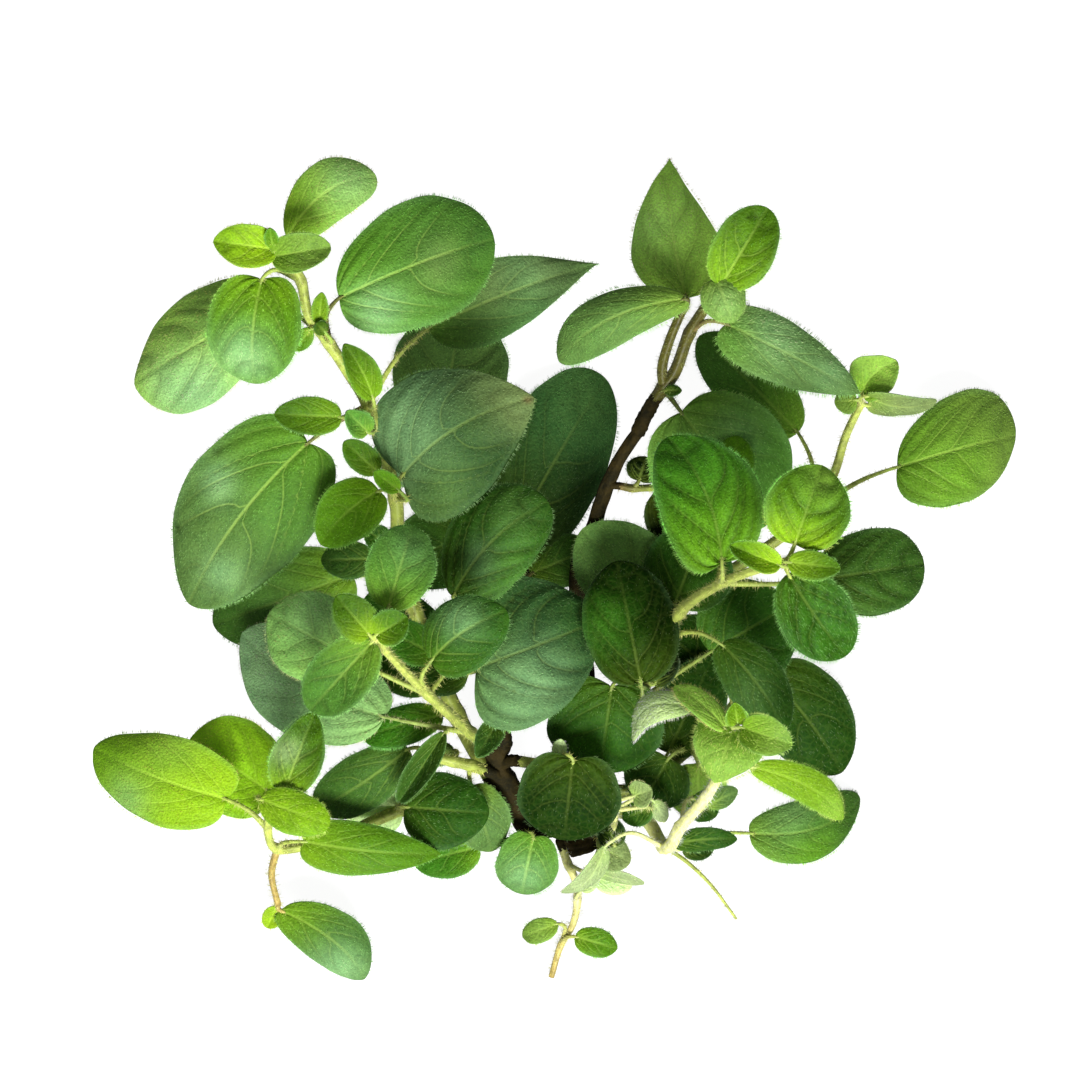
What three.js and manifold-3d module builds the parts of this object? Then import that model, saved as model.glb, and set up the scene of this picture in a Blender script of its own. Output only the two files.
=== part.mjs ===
// Oregano plant (Origanum vulgare): one cut plant with its woody rootstock and leafy shoots, lying on a flat
// surface. Millimetres, +Z up. The surface is z = 0, and the origin is under the middle of the plant.
// The cut stem end points to -Y, the shoots fan out to both sides and to +Y, and the tips of the upper shoots
// stand highest. Each shoot is one closed body: its stem, its petioles and its leaves grew as one.

import * as THREE from 'three';
import Module from 'manifold-3d';

const wasm = await Module();
wasm.setup();

// ---------------------------------------------------------------- driving dimensions (mm)

const BLADE_THICKNESS = 0.7;
const BLADE_ROOT_WIDTH = 1.2; // a blade is this wide where its petiole runs in
const PETIOLE_RADIUS = { least: 0.4, perWidth: 0.01 }; // where it leaves the stem; grows with its blade's width
const PETIOLE_END_RADIUS = 0.25; // of its end, which lies inside the blade
const PETIOLE_ROOT_DEPTH = 1.1; // how far that end reaches into the blade
const WOODY_RADIUS = 1.7;
const ROOTSTOCK_RADIUS = 3.2;
const JOINT_GAP = 0.3; // between a shoot's end face and the woody stub that carries it
const STUB_LENGTH = 2;
const STEM_STEP = 5; // length of one straight piece of a stem
const STEM_SIDES = 4; // the stems of this family are square
const WOOD_SIDES = 6;
const REST_SLAB = 10; // depth of the slab that trims what reaches below the surface

// How a blade narrows: width goes as u^base * (1 - u)^tip, and the lobes reach back past the petiole.
const BLADE_FORMS = {
  ovate: { base: 0.5, tip: 0.6, lobes: 0.25 },
  oval: { base: 0.5, tip: 0.5, lobes: 0.15 },
  round: { base: 0.44, tip: 0.5, lobes: 0.45 },
  heart: { base: 0.4, tip: 0.85, lobes: 0.4 },
  broad: { base: 0.42, tip: 0.62, lobes: 0.4 },
  pointed: { base: 0.6, tip: 1.3, lobes: 0.15 },
};

// Grid of a blade by its width: rows along it, columns across it, and its petiole's segments and sides.
const BLADE_GRIDS = [
  { from: 12.5, rows: 5, columns: 4, petioleSegments: 3, petioleSides: 3 },
  { from: 5.5, rows: 4, columns: 2, petioleSegments: 2, petioleSides: 3 },
  { from: 0, rows: 3, columns: 2, petioleSegments: 1, petioleSides: 3 },
];

const COLOURS = { leaf: 0x4c7f3c, youngLeaf: 0x7ba843, wood: 0x5b4a2c };

// ---------------------------------------------------------------- the plant

// Woody limbs: [radius at the start, radius at the end, route].
const WOODY_LIMBS = [
  [ROOTSTOCK_RADIUS, 2.6, [[5, -47, 1.8], [3.5, -44, 3.2], [1.5, -42, 5.8]]],
  [2.4, WOODY_RADIUS, [[1.5, -42.5, 6.5], [-2, -43, 7.5], [-5, -42.5, 8.5], [-6.2, -40, 10],
    [-7.6, -36.6, 12.5], [-9.8, -32.5, 15.6], [-8.8, -29.3, 17]]],
  [2.2, 1, [[3.5, -43, 5.5], [5, -36, 6.5], [5.3, -24, 7.5], [4.5, -12, 9], [4, 0, 11], [6.5, 7, 14],
    [8.9, 14.4, 19], [11, 18.5, 22], [13.8, 22.7, 25]]],
];

// A leaf is [name, index of the stem's point that bears it, base of its blade, tip, width, shape].
// shape: arch is how far the midrib bows up, bend how far it bows to the right, roll turns the blade about its
// length, right edge down, cup lifts its margins or, below zero, lets them droop, and slant sets the right half
// back towards the base and the left half forward.
// A shoot is [name, place on the wood that carries it, [radius at its foot, at its tip], route of its stem,
// leaves, side stems], and a side stem is [radii, route, leaves].
const SHOOTS = [
  ['centre_left', [-9.8, -32.5, 15.6], [1, 0.6],
    [[-12, -29.5, 19.5], [-14, -27.5, 24], [-21, -21, 38], [-28, -13.5, 50], [-29.5, -11.5, 54]], [
    ['broad_grey', 1, [-28.5, -24.8, 24.5], [-52.5, -11, 9], 17.4, {'arch': 2, 'cup': -10, 'bend': -2.2}],
    ['edge_on', 1, [-18.8, -24.6, 23.5], [-32, -28.3, 21.5], 7, {'roll': 15, 'arch': 1, 'form': 'oval'}],
    ['dark_inner', 2, [-19.5, -14.5, 33], [-29, -10, 31], 7, {}],
    ['pair_left', 2, [-34.5, -14.5, 39], [-47.5, -7.5, 34], 15, {'arch': 1.5, 'cup': -8}],
    ['pair_right', 2, [-20.5, -15.3, 44], [-8, -7, 48], 12.5, {'arch': 2, 'cup': -10, 'roll': -8, 'bend': -0.8}],
    ['tip_down', 3, [-30, -12, 54], [-40.5, -23.5, 46], 10.5, {'arch': 2, 'cup': 8}],
    ['tip_up', 3, [-27.5, -6.5, 54], [-23.5, 7, 50], 11.5, {'arch': 2, 'cup': 10}],
    ['bud_left', 4, [-30.5, -11, 56], [-36, -4.5, 59], 7, {'arch': 0.5, 'cup': 12}],
    ['bud_right', 4, [-29.5, -11, 56], [-24.3, -8, 58], 6.5, {'arch': 0.5, 'cup': 22, 'form': 'oval'}],
  ], []],
  ['centre', [-8.8, -29.3, 17], [1.4, 0.7],
    [[-9.2, -26.8, 18.5], [-10.5, -22, 21], [-12, -15.5, 24], [-14, -5.5, 28], [-12.5, 1, 30.5]], [
    ['hanging_small', 1, [-9.5, -25.5, 25], [-13, -31.5, 30], 4.5, {'cup': 20}],
    ['broad_right', 2, [-13.1, -16.6, 29], [8.5, -8.2, 22], 25, {'arch': 2.5, 'cup': -10, 'form': 'heart', 'bend': 0.2, 'slant': 0.1}],
    ['dark_left', 2, [-14.5, -17.5, 24.6], [-26, -14.5, 22], 10.5, {}],
    ['upper', 4, [-17, -4.8, 33], [-1.2, 11.1, 35], 15.6, {'arch': 2, 'cup': -12, 'bend': -1.9, 'form': 'oval', 'slant': 0.2}],
  ], []],
  ['upper_left', [-7.6, -36.6, 12.5], [1.4, 0.75],
    [[-11, -34.5, 12.5], [-16.5, -24.5, 14], [-21.5, -12, 18], [-26, 1.5, 25], [-26.5, 11.5, 31],
      [-31, 27, 37], [-34.3, 32.5, 39], [-37.4, 37.2, 41], [-40.8, 42, 44], [-42, 47.5, 47], [-45, 52.5, 51]], [
    ['resting_dark', 2, [-34, -1.2, 12], [-57.5, -9.6, 0.2], 16.6, {'arch': 2.5, 'cup': -6}],
    ['under_centre', 1, [-20, -20, 12], [-31, -4, 8], 15, {}],
    ['inner_small', 3, [-30.5, 1.5, 26], [-39, 1.3, 25], 6.5, {}],
    ['inner_bright', 3, [-28, 4, 30], [-31.5, 6.5, 31], 4.5, {'cup': 15}],
    ['broad_dark', 4, [-25.4, 15.3, 37], [-3.5, 28.3, 41], 24.5, {'arch': 3, 'cup': -12, 'bend': -2.2, 'form': 'heart'}],
    ['left_small', 4, [-29.2, 12.8, 35], [-39, 4, 37], 10.2, {'arch': 1, 'cup': 8, 'bend': 0.9}],
    ['bud_a', 4, [-29.5, 16, 37], [-35, 21, 39], 5, {'cup': 10}],
    ['bud_b', 4, [-26, 13, 39], [-30, 16, 41], 3.5, {'cup': 20}],
    ['big_left', 5, [-41, 20.8, 34], [-61.1, -6, 22], 22.6, {'arch': 3, 'cup': -8, 'bend': 1.8, 'form': 'broad', 'slant': 0.1}],
    ['pointed_right', 5, [-21, 40, 30], [7.5, 51, 14], 13.5, {'arch': 2, 'cup': -6, 'form': 'pointed', 'roll': 8, 'bend': -1}],
    ['left_oval', 5, [-35.5, 25, 40], [-46.5, 25.5, 41], 6.5, {'cup': 8}],
    ['axil_a', 5, [-31, 22.5, 41], [-34.5, 26, 44], 5, {'cup': 25}],
    ['axil_b', 5, [-30.2, 28.3, 42], [-34.8, 37, 49], 5.8, {'cup': 25, 'bend': 0.5}],
    ['big_right', 7, [-35.7, 44.7, 44], [-10.1, 54.7, 34], 20.8, {'arch': 3, 'cup': -8, 'bend': -0.6, 'form': 'oval', 'slant': 0.18}],
    ['far_left', 7, [-48.8, 42.6, 38], [-70.1, 30.7, 26], 19.4, {'arch': 3, 'cup': -20, 'roll': 15, 'bend': -0.2, 'slant': 0.3}],
    ['axil_c', 7, [-39, 40.5, 46], [-38.5, 45.5, 50], 3, {'cup': 20}],
    ['axil_d', 7, [-38, 39, 46], [-39.5, 40.5, 48], 2.5, {}],
    ['axil_e', 7, [-40.5, 39.5, 44], [-43, 36, 42], 3, {}],
    ['tip_down', 9, [-48.4, 47.7, 49], [-49.6, 30.5, 44], 15.8, {'arch': 3, 'cup': 8, 'form': 'broad', 'bend': 0.9}],
    ['tip_up', 9, [-44.2, 54.5, 50], [-29.6, 64.8, 46], 10.2, {'arch': 3, 'cup': -10, 'bend': -2.5, 'form': 'oval', 'slant': 0.2}],
    ['bud_left', 10, [-46, 52.5, 53], [-56.3, 53.9, 55], 7.6, {'arch': 1, 'cup': 18}],
    ['bud_right', 10, [-46.7, 51.3, 53], [-36.9, 52.9, 56], 7.2, {'arch': 1, 'cup': 25, 'form': 'oval'}],
    ['bud_mid', 10, [-46.5, 53, 54], [-47, 56, 57], 2.5, {'cup': 20}],
  ], []],
  ['low_back', [4.5, -12, 9], [1.1, 0.6],
    [[1.2, -10.5, 8.6], [-4, -3, 7.5], [-8, 8, 7], [-13, 19, 6.5], [-17, 26, 6.5]], [
    ['under_small', 1, [-4, -1, 8.5], [6.5, 3.5, 5.5], 9, {}],
    ['gap_dark', 2, [-13, 5.7, 7.5], [-27.5, 0.7, 4], 14, {}],
    ['dark_high', 2, [-6.7, 5.5, 8], [8.6, 31.8, 0.2], 19, {'arch': 2, 'cup': -8, 'roll': 8, 'bend': -0.8, 'form': 'round', 'slant': 0.3}],
    ['left_under', 3, [-16, 17.5, 7], [-31, 19, 3], 10, {'arch': 1}],
    ['shaded_back', 4, [-18.8, 24.8, 7], [-15.8, 43, 0.2], 19.5, {'arch': 1, 'form': 'round'}],
  ], []],
  ['limb_leaf', [8.9, 14.4, 19], [0.6, 0.5], [[11.3, 13.6, 19.6], [13, 13.3, 19.8], [16, 13.4, 19]], [
    ['dark_small', 1, [14, 14.6, 20], [15.3, 18.6, 20], 5.5, {}],
    ['under_right', 2, [17, 13, 18.5], [27, 6, 14.5], 14, {}],
  ], []],
  ['upper_right', [13.8, 22.7, 25], [1.05, 0.75],
    [[17.1, 28.7, 29.8], [18.1, 30.1, 30.7], [19.9, 32.6, 32], [22.3, 39, 35.5], [25.4, 44, 40], [27.5, 47.5, 44]], [
    ['low_right', 1, [21, 26, 26], [35.5, 7.2, 18.8], 24, {'arch': 3, 'cup': -10}],
    ['bud_node', 1, [18.5, 29.5, 32], [21, 29.5, 34], 2, {'cup': 10}],
    ['long_right', 3, [28.3, 40.5, 39], [50.6, 29, 34.5], 11.2, {'arch': 4, 'cup': -16, 'roll': -8, 'bend': 0.3, 'form': 'heart'}],
    ['tip_right', 5, [27.4, 46.6, 46], [35.1, 59.5, 49], 10.8, {'arch': 1, 'cup': 12, 'form': 'oval'}],
    ['tip_down', 5, [26.6, 47.8, 46], [29.4, 40.7, 46.5], 8, {'arch': 1.5, 'cup': -20}],
  ], [
    [[0.85, 0.7], [[18.1, 30.1, 30.7], [17.8, 33.2, 32.5], [18.9, 37.5, 35], [20.4, 41.2, 37], [21.5, 43.5, 38]], [
      ['pointed_up', 4, [21.8, 45, 33], [19.2, 68.6, 17], 15, {'arch': 2, 'form': 'pointed', 'cup': -8, 'bend': -1.1}],
      ['drooping_left', 4, [21.7, 44.6, 39], [0.7, 34.3, 31], 9.8, {'arch': 4, 'cup': -25, 'bend': 2.6, 'form': 'oval', 'slant': -0.2}],
    ]],
  ]],
  ['far_right', [4.5, -12, 9], [1.1, 0.6],
    [[8, -10.5, 10], [17.5, -7, 11], [31, 0.5, 13], [43, 9.5, 16], [46.5, 15.5, 19], [48.5, 22, 23],
      [51, 27.5, 28]], [
    ['resting_broad', 3, [57.4, 16.9, 12], [77.6, 22.3, 0.2], 18.4, {'arch': 2.5, 'cup': -8, 'bend': -0.3, 'form': 'oval', 'slant': 0.38}],
    ['dark_back', 3, [40.6, 22.8, 12], [24.3, 39, 0.2], 11.4, {'arch': 2, 'bend': 0.3}],
    ['tip_back', 6, [51, 29, 30], [56.8, 34.4, 32.5], 8.4, {'cup': 25, 'bend': -1}],
    ['tip_side', 6, [52, 28.6, 31], [63.5, 27.8, 31], 6.4, {'arch': 1.5, 'roll': 58}],
    ['tip_left', 6, [50, 28, 30], [46.5, 27.5, 29], 4.5, {'cup': -10}],
    ['tip_low', 6, [52.1, 27.1, 28], [58.5, 26.3, 26], 3.4, {'roll': 30}],
  ], []],
  ['right', [5.2, -30, 7], [1.2, 0.7],
    [[8, -28, 8.5], [13.5, -23, 12], [16.5, -15, 19], [18.7, -11.3, 24], [21, -7, 29], [27.5, -2.5, 38],
      [32.5, -0.5, 44], [38, 1, 49]], [
    ['inner_round', 1, [14.3, -19, 28], [10.3, 1.2, 26], 16, {'arch': 2, 'cup': -8}],
    ['facing', 1, [9.5, -19.8, 20], [7.5, -34.3, 15], 19.5, {'arch': 1.5, 'cup': -8, 'form': 'round'}],
    ['inner_wide', 1, [26, -14.1, 12], [39.5, -6.1, 10], 18, {'arch': 2}],
    ['inner_small', 2, [16.5, -19.5, 20], [20, -14, 22], 4.5, {}],
    ['side_dark', 3, [27.7, -12.7, 28], [38.3, -27.5, 23], 10, {'arch': 2, 'cup': -12, 'bend': -1}],
    ['under_dark', 4, [20, -6, 21.5], [25, 7, 19.5], 15, {}],
    ['under_left', 4, [17.5, -6.5, 17.5], [4.5, 6.5, 17], 15.5, {'arch': 1}],
    ['broad_bright', 5, [27.6, 1, 43], [18.6, 21.7, 38], 17.4, {'arch': 2, 'cup': 10, 'bend': 2.1, 'form': 'broad'}],
    ['dark_outer', 5, [43.5, -2, 34], [61.5, 0.8, 26], 14.6, {'arch': 2, 'cup': -6, 'form': 'oval'}],
    ['small_back', 5, [28.5, 12.5, 28], [30.5, 22, 26], 7.5, {'arch': 1}],
    ['tip_up', 7, [39.5, 4, 52], [44, 17, 53], 14.5, {'arch': 2.5, 'cup': 14}],
    ['tip_down', 7, [38.5, -1, 51], [48.1, -14.5, 44], 12.2, {'arch': 2, 'cup': 8, 'bend': 0.4}],
    ['bud_right', 7, [38.5, 1, 53], [47, 0, 55], 5, {'cup': 12}],
    ['bud_left', 7, [37, 0.5, 53], [28.8, 3.8, 54], 6, {'cup': 40}],
  ], []],
  ['lower_right', [4.4, -40, 6], [1.2, 0.7],
    [[8.5, -40.4, 6.5], [15, -42, 8.5], [18.3, -46.8, 12], [21, -43, 24], [25, -38, 36], [27, -34.5, 44], [29, -30, 51]], [
    ['curled_left', 4, [22.3, -23, 51], [12.8, -28.3, 45], 6, {'arch': 3, 'roll': 35, 'bend': 2, 'cup': -10}],
    ['long_right', 4, [32.6, -32.9, 44], [47.8, -41.7, 33], 6.2, {'arch': 2.5, 'cup': -10, 'roll': 10, 'bend': -2.3}],
    ['tip_front', 6, [29.5, -26, 55], [26.2, -35.3, 56], 12, {'arch': 2.5, 'cup': -10, 'form': 'heart'}],
    ['tip_right', 6, [30.8, -26.2, 57], [39, -29, 59], 7, {'arch': 1.5, 'cup': 20}],
    ['bud_left', 6, [28, -26.5, 56], [19.5, -19.5, 55], 5.5, {'arch': 1, 'roll': 40}],
    ['bud_up', 6, [30, -25.5, 56], [29.5, -22, 59], 4.5, {'cup': 35}],
    ['low_blade', 2, [20, -46.2, 14], [30.5, -45.3, 15], 4.4, {'arch': 1.5, 'roll': 20, 'bend': -1}],
    ['low_small', 2, [21.5, -47.2, 11], [26.7, -47, 10], 4, {}],
    ['drooping', 2, [8.3, -46.6, 18], [1.2, -54.4, 13], 5, {'arch': 2, 'roll': -50}],
    ['resting_wide', 2, [32.7, -44.5, 10], [51.4, -38.9, 0.2], 10.8, {'arch': 2.5, 'cup': -8, 'bend': 2.5, 'slant': 0.2}],
    ['inner_dark', 3, [23, -38.5, 20], [27, -41.5, 17], 5.5, {}],
    ['inner_blade', 3, [25.5, -39.5, 24], [30.5, -37, 23], 4, {'roll': 30}],
  ], [
    [[0.35, 0.2], [[18.3, -46.8, 12], [21.5, -48.8, 11], [26, -53, 8], [30.5, -59, 5]], []],
  ]],
  ['right_low', [4.9, -37, 6.4], [1.1, 0.6],
    [[8, -37.5, 6.5], [14, -37, 6], [22.5, -30.5, 7], [30, -23, 8], [33.5, -19.5, 8.5]], [
    ['resting_dark', 3, [36, -18, 8], [48.3, -34.5, 0.2], 15.4, {'arch': 2.5, 'cup': -6, 'form': 'broad', 'bend': -0.7}],
    ['inner_a', 2, [19, -32, 12], [14.5, -40, 8.5], 11.5, {}],
    ['inner_b', 2, [24, -33, 11], [24, -42.5, 6], 10, {}],
    ['inner_c', 1, [19, -31, 9.5], [26.5, -15, 9], 12, {}],
    ['inner_d', 3, [28, -18.5, 8.5], [17.5, -10, 5], 14, {}],
  ], []],
  ['lower_left', [-6.2, -40, 10], [1.2, 0.6],
    [[-9.3, -39, 10.8], [-16, -38.5, 10.5], [-25.5, -40.5, 11], [-36.5, -45, 13], [-46.5, -47, 14],
      [-48, -43.5, 19], [-47, -39, 25]], [
    ['inner_wide', 2, [-25, -40, 16], [-11, -41, 18], 13, {'arch': 2, 'cup': -8}],
    ['pale_inner', 2, [-26, -39.8, 12], [-35.5, -41, 9], 9.6, {'roll': -20}],
    ['long_bright', 4, [-42, -45.7, 20], [-19, -47.8, 18], 9.5, {'arch': 3, 'roll': 10, 'cup': -10, 'form': 'heart'}],
    ['far_bright', 5, [-54.9, -38.6, 20], [-77.2, -30.1, 13], 15.4, {'arch': 3, 'cup': -8, 'bend': -0.8, 'form': 'broad', 'slant': 0.12}],
    ['behind', 5, [-47.9, -37.5, 17], [-61.5, -29.2, 11], 16.4, {'arch': 1.5, 'form': 'round', 'bend': 0.5}],
    ['tip_up', 6, [-45, -37, 28], [-40, -24, 33], 9, {'arch': 1.5, 'cup': 18}],
    ['tip_right', 6, [-49, -38.5, 29], [-37.5, -42.7, 31], 7.5, {'arch': 1.5, 'cup': -8, 'form': 'oval'}],
  ], [
    [[0.6, 0.5], [[-46.5, -47, 14], [-47.5, -51.5, 10], [-46.5, -56.5, 7]], [
      ['resting_tip', 2, [-46, -57.6, 6], [-32, -69.2, 0.2], 10.2, {'arch': 3, 'cup': -10, 'roll': 15, 'bend': -2.6, 'slant': 0.1}],
      ['resting_bud', 2, [-46.5, -57, 6], [-48.5, -60.5, 3], 3.5, {'cup': 15}],
    ]],
  ]],
  ['front', [2, -44, 6], [0.65, 0.5],
    [[1.5, -47.8, 8.6], [2.2, -49.7, 9], [3.4, -52.3, 8.4], [3.8, -55.5, 7.2], [3, -60, 4.4], [1, -63.5, 2.4],
      [-0.6, -68.9, 0.7]], [
    ['edge_on', 1, [6.8, -51, 10.5], [15, -53, 8.5], 4.5, {'roll': 62}],
    ['pale_a', 3, [4.5, -54, 11], [7, -51.5, 11], 3, {}],
    ['pale_b', 3, [6.5, -52, 9], [13, -53.5, 7], 4.5, {'roll': -10}],
    ['left_small', 5, [0.3, -59.8, 6], [-5.4, -62, 4], 4.2, {'arch': 1.5}],
    ['right_small', 5, [3.5, -62, 5], [10.5, -64, 4], 5, {'arch': 1}],
  ], []],
  ['crown', [4, -44.5, 5], [0.8, 0.4],
    [[7.5, -44.5, 9.5], [9.5, -44.3, 13], [10, -40.5, 18], [9.5, -39, 21]], [
    ['curl', 3, [13.2, -38, 22], [16.2, -37, 24], 5, {'cup': 20, 'form': 'round'}],
    ['low_a', 2, [16, -40.2, 17], [11.3, -42, 14], 4.5, {}],
    ['low_b', 2, [16.5, -39, 16], [18.5, -42.5, 14], 3, {}],
    ['dark_a', 1, [10, -46.5, 13.5], [8.5, -41.5, 15.5], 5, {'cup': 20}],
    ['half_pale', 1, [7.3, -46.6, 14], [12.6, -49.4, 12.5], 6, {'roll': -15}],
  ], []],
  ['front_left', [-8.5, -35, 13.9], [0.9, 0.8],
    [[-12.3, -33.6, 18], [-14, -33, 19.3], [-17, -32.3, 20.8], [-20.5, -31.5, 22]], [
    ['behind_wide', 1, [-14, -36.5, 15.5], [-10.5, -47.5, 11.5], 9.5, {'arch': 1.5}],
    ['grey_small', 2, [-17, -30.5, 18], [-22, -32, 17], 4, {}],
    ['long_dark', 3, [-24.5, -30.2, 22], [-40, -40.5, 14], 10, {'arch': 2, 'roll': -15, 'cup': -8, 'form': 'oval'}],
    ['folded_dark', 3, [-18.5, -27.5, 28], [-26, -39, 23], 7, {'cup': 50, 'arch': 1}],
  ], []],
  ['front_centre', [-9.4, -33, 15.2], [0.9, 0.8], [[-5.3, -32.4, 18.8], [-1, -33, 21.5]], [
    ['broad_dark', 1, [3, -32, 25], [1.5, -45.5, 17], 17.5, {'arch': 2, 'cup': -8, 'form': 'round'}],
    ['axil', 1, [0.5, -31.5, 22], [1, -28.5, 23], 2.5, {}],
  ], []],
  ['front_low', [-5, -42.5, 8.5], [0.9, 0.8], [[-5.6, -45.6, 10.8], [-6.8, -46, 11.4], [-8.8, -46.3, 11.6]], [
    ['bright_round', 1, [-3.6, -45, 14], [-5.6, -54.7, 9], 10.5, {'arch': 2, 'cup': -8, 'form': 'round'}],
    ['low_green', 2, [-12.8, -46.8, 9.5], [-23.7, -49.7, 5], 8, {}],
  ], []],
];

// ---------------------------------------------------------------- curves, tubes and blades

const radians = (degrees) => THREE.MathUtils.degToRad(degrees);
const vector = (point) => new THREE.Vector3(...point);
const curveThrough = (points) => new THREE.CatmullRomCurve3(points, false, 'centripetal');

// The closed geometry of a list of vertices and of faces that index them, each a triangle or a quad.
function geometryOf(vertices, faces) {
  const triangles = faces.flatMap(([a, b, c, d]) => (d === undefined ? [a, b, c] : [a, b, c, a, c, d]));
  const geometry = new THREE.BufferGeometry();
  geometry.setFromPoints(vertices);
  geometry.setIndex(triangles);
  return geometry;
}

// A tube along a curve with a flat cap at each end; its radius runs evenly from start to end.
function tube(curve, startRadius, endRadius, segments, sides) {
  const { normals, binormals } = curve.computeFrenetFrames(segments);
  const vertices = [];
  const faces = [];
  curve.getSpacedPoints(segments).forEach((centre, i) => {
    const radius = THREE.MathUtils.lerp(startRadius, endRadius, i / segments);
    for (let j = 0; j < sides; j++) {
      const angle = (2 * Math.PI * j) / sides;
      vertices.push(centre.clone()
        .addScaledVector(normals[i], radius * Math.cos(angle))
        .addScaledVector(binormals[i], radius * Math.sin(angle)));
    }
  });
  const ring = (i, j) => i * sides + (j % sides);
  for (let i = 0; i < segments; i++) {
    for (let j = 0; j < sides; j++) faces.push([ring(i, j), ring(i, j + 1), ring(i + 1, j + 1), ring(i + 1, j)]);
  }
  for (let j = 1; j < sides - 1; j++) {
    faces.push([ring(0, 0), ring(0, j + 1), ring(0, j)]);
    faces.push([ring(segments, 0), ring(segments, j), ring(segments, j + 1)]);
  }
  return geometryOf(vertices, faces);
}

// The middle surface of a blade: a function of u, from base 0 to tip 1, and v, from left edge -1 to right edge 1.
function bladeSurface(base, tip, width, { arch = 0, bend = 0, roll = 0, cup = 0, slant = 0, form = 'ovate' }) {
  const chord = tip.clone().sub(base);
  const forward = chord.clone().normalize();
  const normal = new THREE.Vector3(0, 0, 1).projectOnPlane(forward).normalize();
  normal.applyAxisAngle(forward, radians(roll));
  const side = forward.clone().cross(normal);
  const { base: baseTaper, tip: tipTaper, lobes } = BLADE_FORMS[form];
  const taper = (u) => u ** baseTaper * (1 - u) ** tipTaper;
  const widest = taper(baseTaper / (baseTaper + tipTaper));
  return (u, v) => {
    const bow = 4 * u * (1 - u);
    const half = Math.max((width / 2) * taper(u) / widest, (BLADE_ROOT_WIDTH / 2) * (1 - u));
    return base.clone()
      .addScaledVector(chord, u)
      .addScaledVector(normal, arch * bow + half * Math.abs(v) ** 1.5 * Math.sin(radians(cup)))
      .addScaledVector(side, bend * bow + half * v * Math.cos(radians(cup)))
      .addScaledVector(forward, -half * v * (lobes * v * (1 - u) ** 4 + slant));
  };
}

// The unit normal of a blade's surface, found from two short steps on it.
function bladeNormal(surface, u, v) {
  const step = 0.02;
  const at = THREE.MathUtils.clamp(u, step, 1 - 2 * step);
  const along = surface(at + step, v).sub(surface(at - step, v));
  const across = surface(at, v + step).sub(surface(at, v - step));
  return across.cross(along).normalize();
}

// A blade of even thickness on a grid whose rows close up towards its base and its tip.
function blade(surface, rows, columns) {
  const vertices = [];
  const faces = [];
  const addPair = (u, v) => {
    const middle = surface(u, v);
    const offset = bladeNormal(surface, u, v).multiplyScalar(BLADE_THICKNESS / 2);
    vertices.push(middle.clone().add(offset), middle.clone().sub(offset));
  };
  for (let i = 0; i < rows; i++) {
    const u = (1 - Math.cos((Math.PI * i) / rows)) / 2;
    for (let j = 0; j <= columns; j++) addPair(u, (2 * j) / columns - 1);
  }
  addPair(1, 0);
  const upper = (i, j) => (i === rows ? 2 * rows * (columns + 1) : 2 * (i * (columns + 1) + j));
  const lower = (i, j) => upper(i, j) + 1;
  const edge = (i, j, flip) => {
    const quad = [upper(i, j), lower(i, j), lower(i + 1, j), upper(i + 1, j)];
    faces.push(flip ? quad.reverse() : quad);
  };
  for (let i = 0; i < rows; i++) {
    for (let j = 0; j < columns; j++) {
      if (i === rows - 1) {
        faces.push([upper(i, j), upper(i, j + 1), upper(rows)], [lower(i, j + 1), lower(i, j), lower(rows)]);
      } else if (j < columns / 2) {
        faces.push([upper(i, j), upper(i, j + 1), upper(i + 1, j + 1), upper(i + 1, j)]);
        faces.push([lower(i + 1, j + 1), lower(i, j + 1), lower(i, j), lower(i + 1, j)]);
      } else {
        faces.push([upper(i, j + 1), upper(i + 1, j + 1), upper(i + 1, j), upper(i, j)]);
        faces.push([lower(i + 1, j), lower(i + 1, j + 1), lower(i, j + 1), lower(i, j)]);
      }
    }
    edge(i, columns, false);
    edge(i, 0, true);
  }
  for (let j = 0; j < columns; j++) faces.push([upper(0, j), lower(0, j), lower(0, j + 1), upper(0, j + 1)]);
  return geometryOf(vertices, faces);
}

// ---------------------------------------------------------------- solids

function solidOf(geometry) {
  return new wasm.Manifold(new wasm.Mesh({
    numProp: 3,
    vertProperties: new Float32Array(geometry.attributes.position.array),
    triVerts: new Uint32Array(geometry.index.array),
  }));
}

const joined = (solids) => solids.reduce((all, next) => all.add(next));

// A solid's largest body: a hollow that the fusing seals is filled, and a loose scrap is dropped.
const outerBody = (solid) => solid.decompose().reduce((a, b) => (b.volume() > a.volume() ? b : a));

// What reaches below the surface is trimmed flat, so that it lies on it.
function trimmedAtSurface(solid) {
  const slab = new THREE.BoxGeometry(400, 400, REST_SLAB).translate(0, 0, -REST_SLAB / 2);
  return solid.subtract(solidOf(boxWithSharedCorners(slab)));
}

function boxWithSharedCorners(box) {
  box.computeBoundingBox();
  const { min, max } = box.boundingBox;
  const corners = [min, max].flatMap(({ z }) => [
    [min.x, min.y, z], [max.x, min.y, z], [max.x, max.y, z], [min.x, max.y, z],
  ].map(vector));
  return geometryOf(corners, [[3, 2, 1, 0], [4, 5, 6, 7], [0, 1, 5, 4], [1, 2, 6, 5], [2, 3, 7, 6], [3, 0, 4, 7]]);
}

// ---------------------------------------------------------------- sub-parts

function stem([startRadius, endRadius], route, sides) {
  const curve = curveThrough(route.map(vector));
  return solidOf(tube(curve, startRadius, endRadius, Math.ceil(curve.getLength() / STEM_STEP), sides));
}

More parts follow.
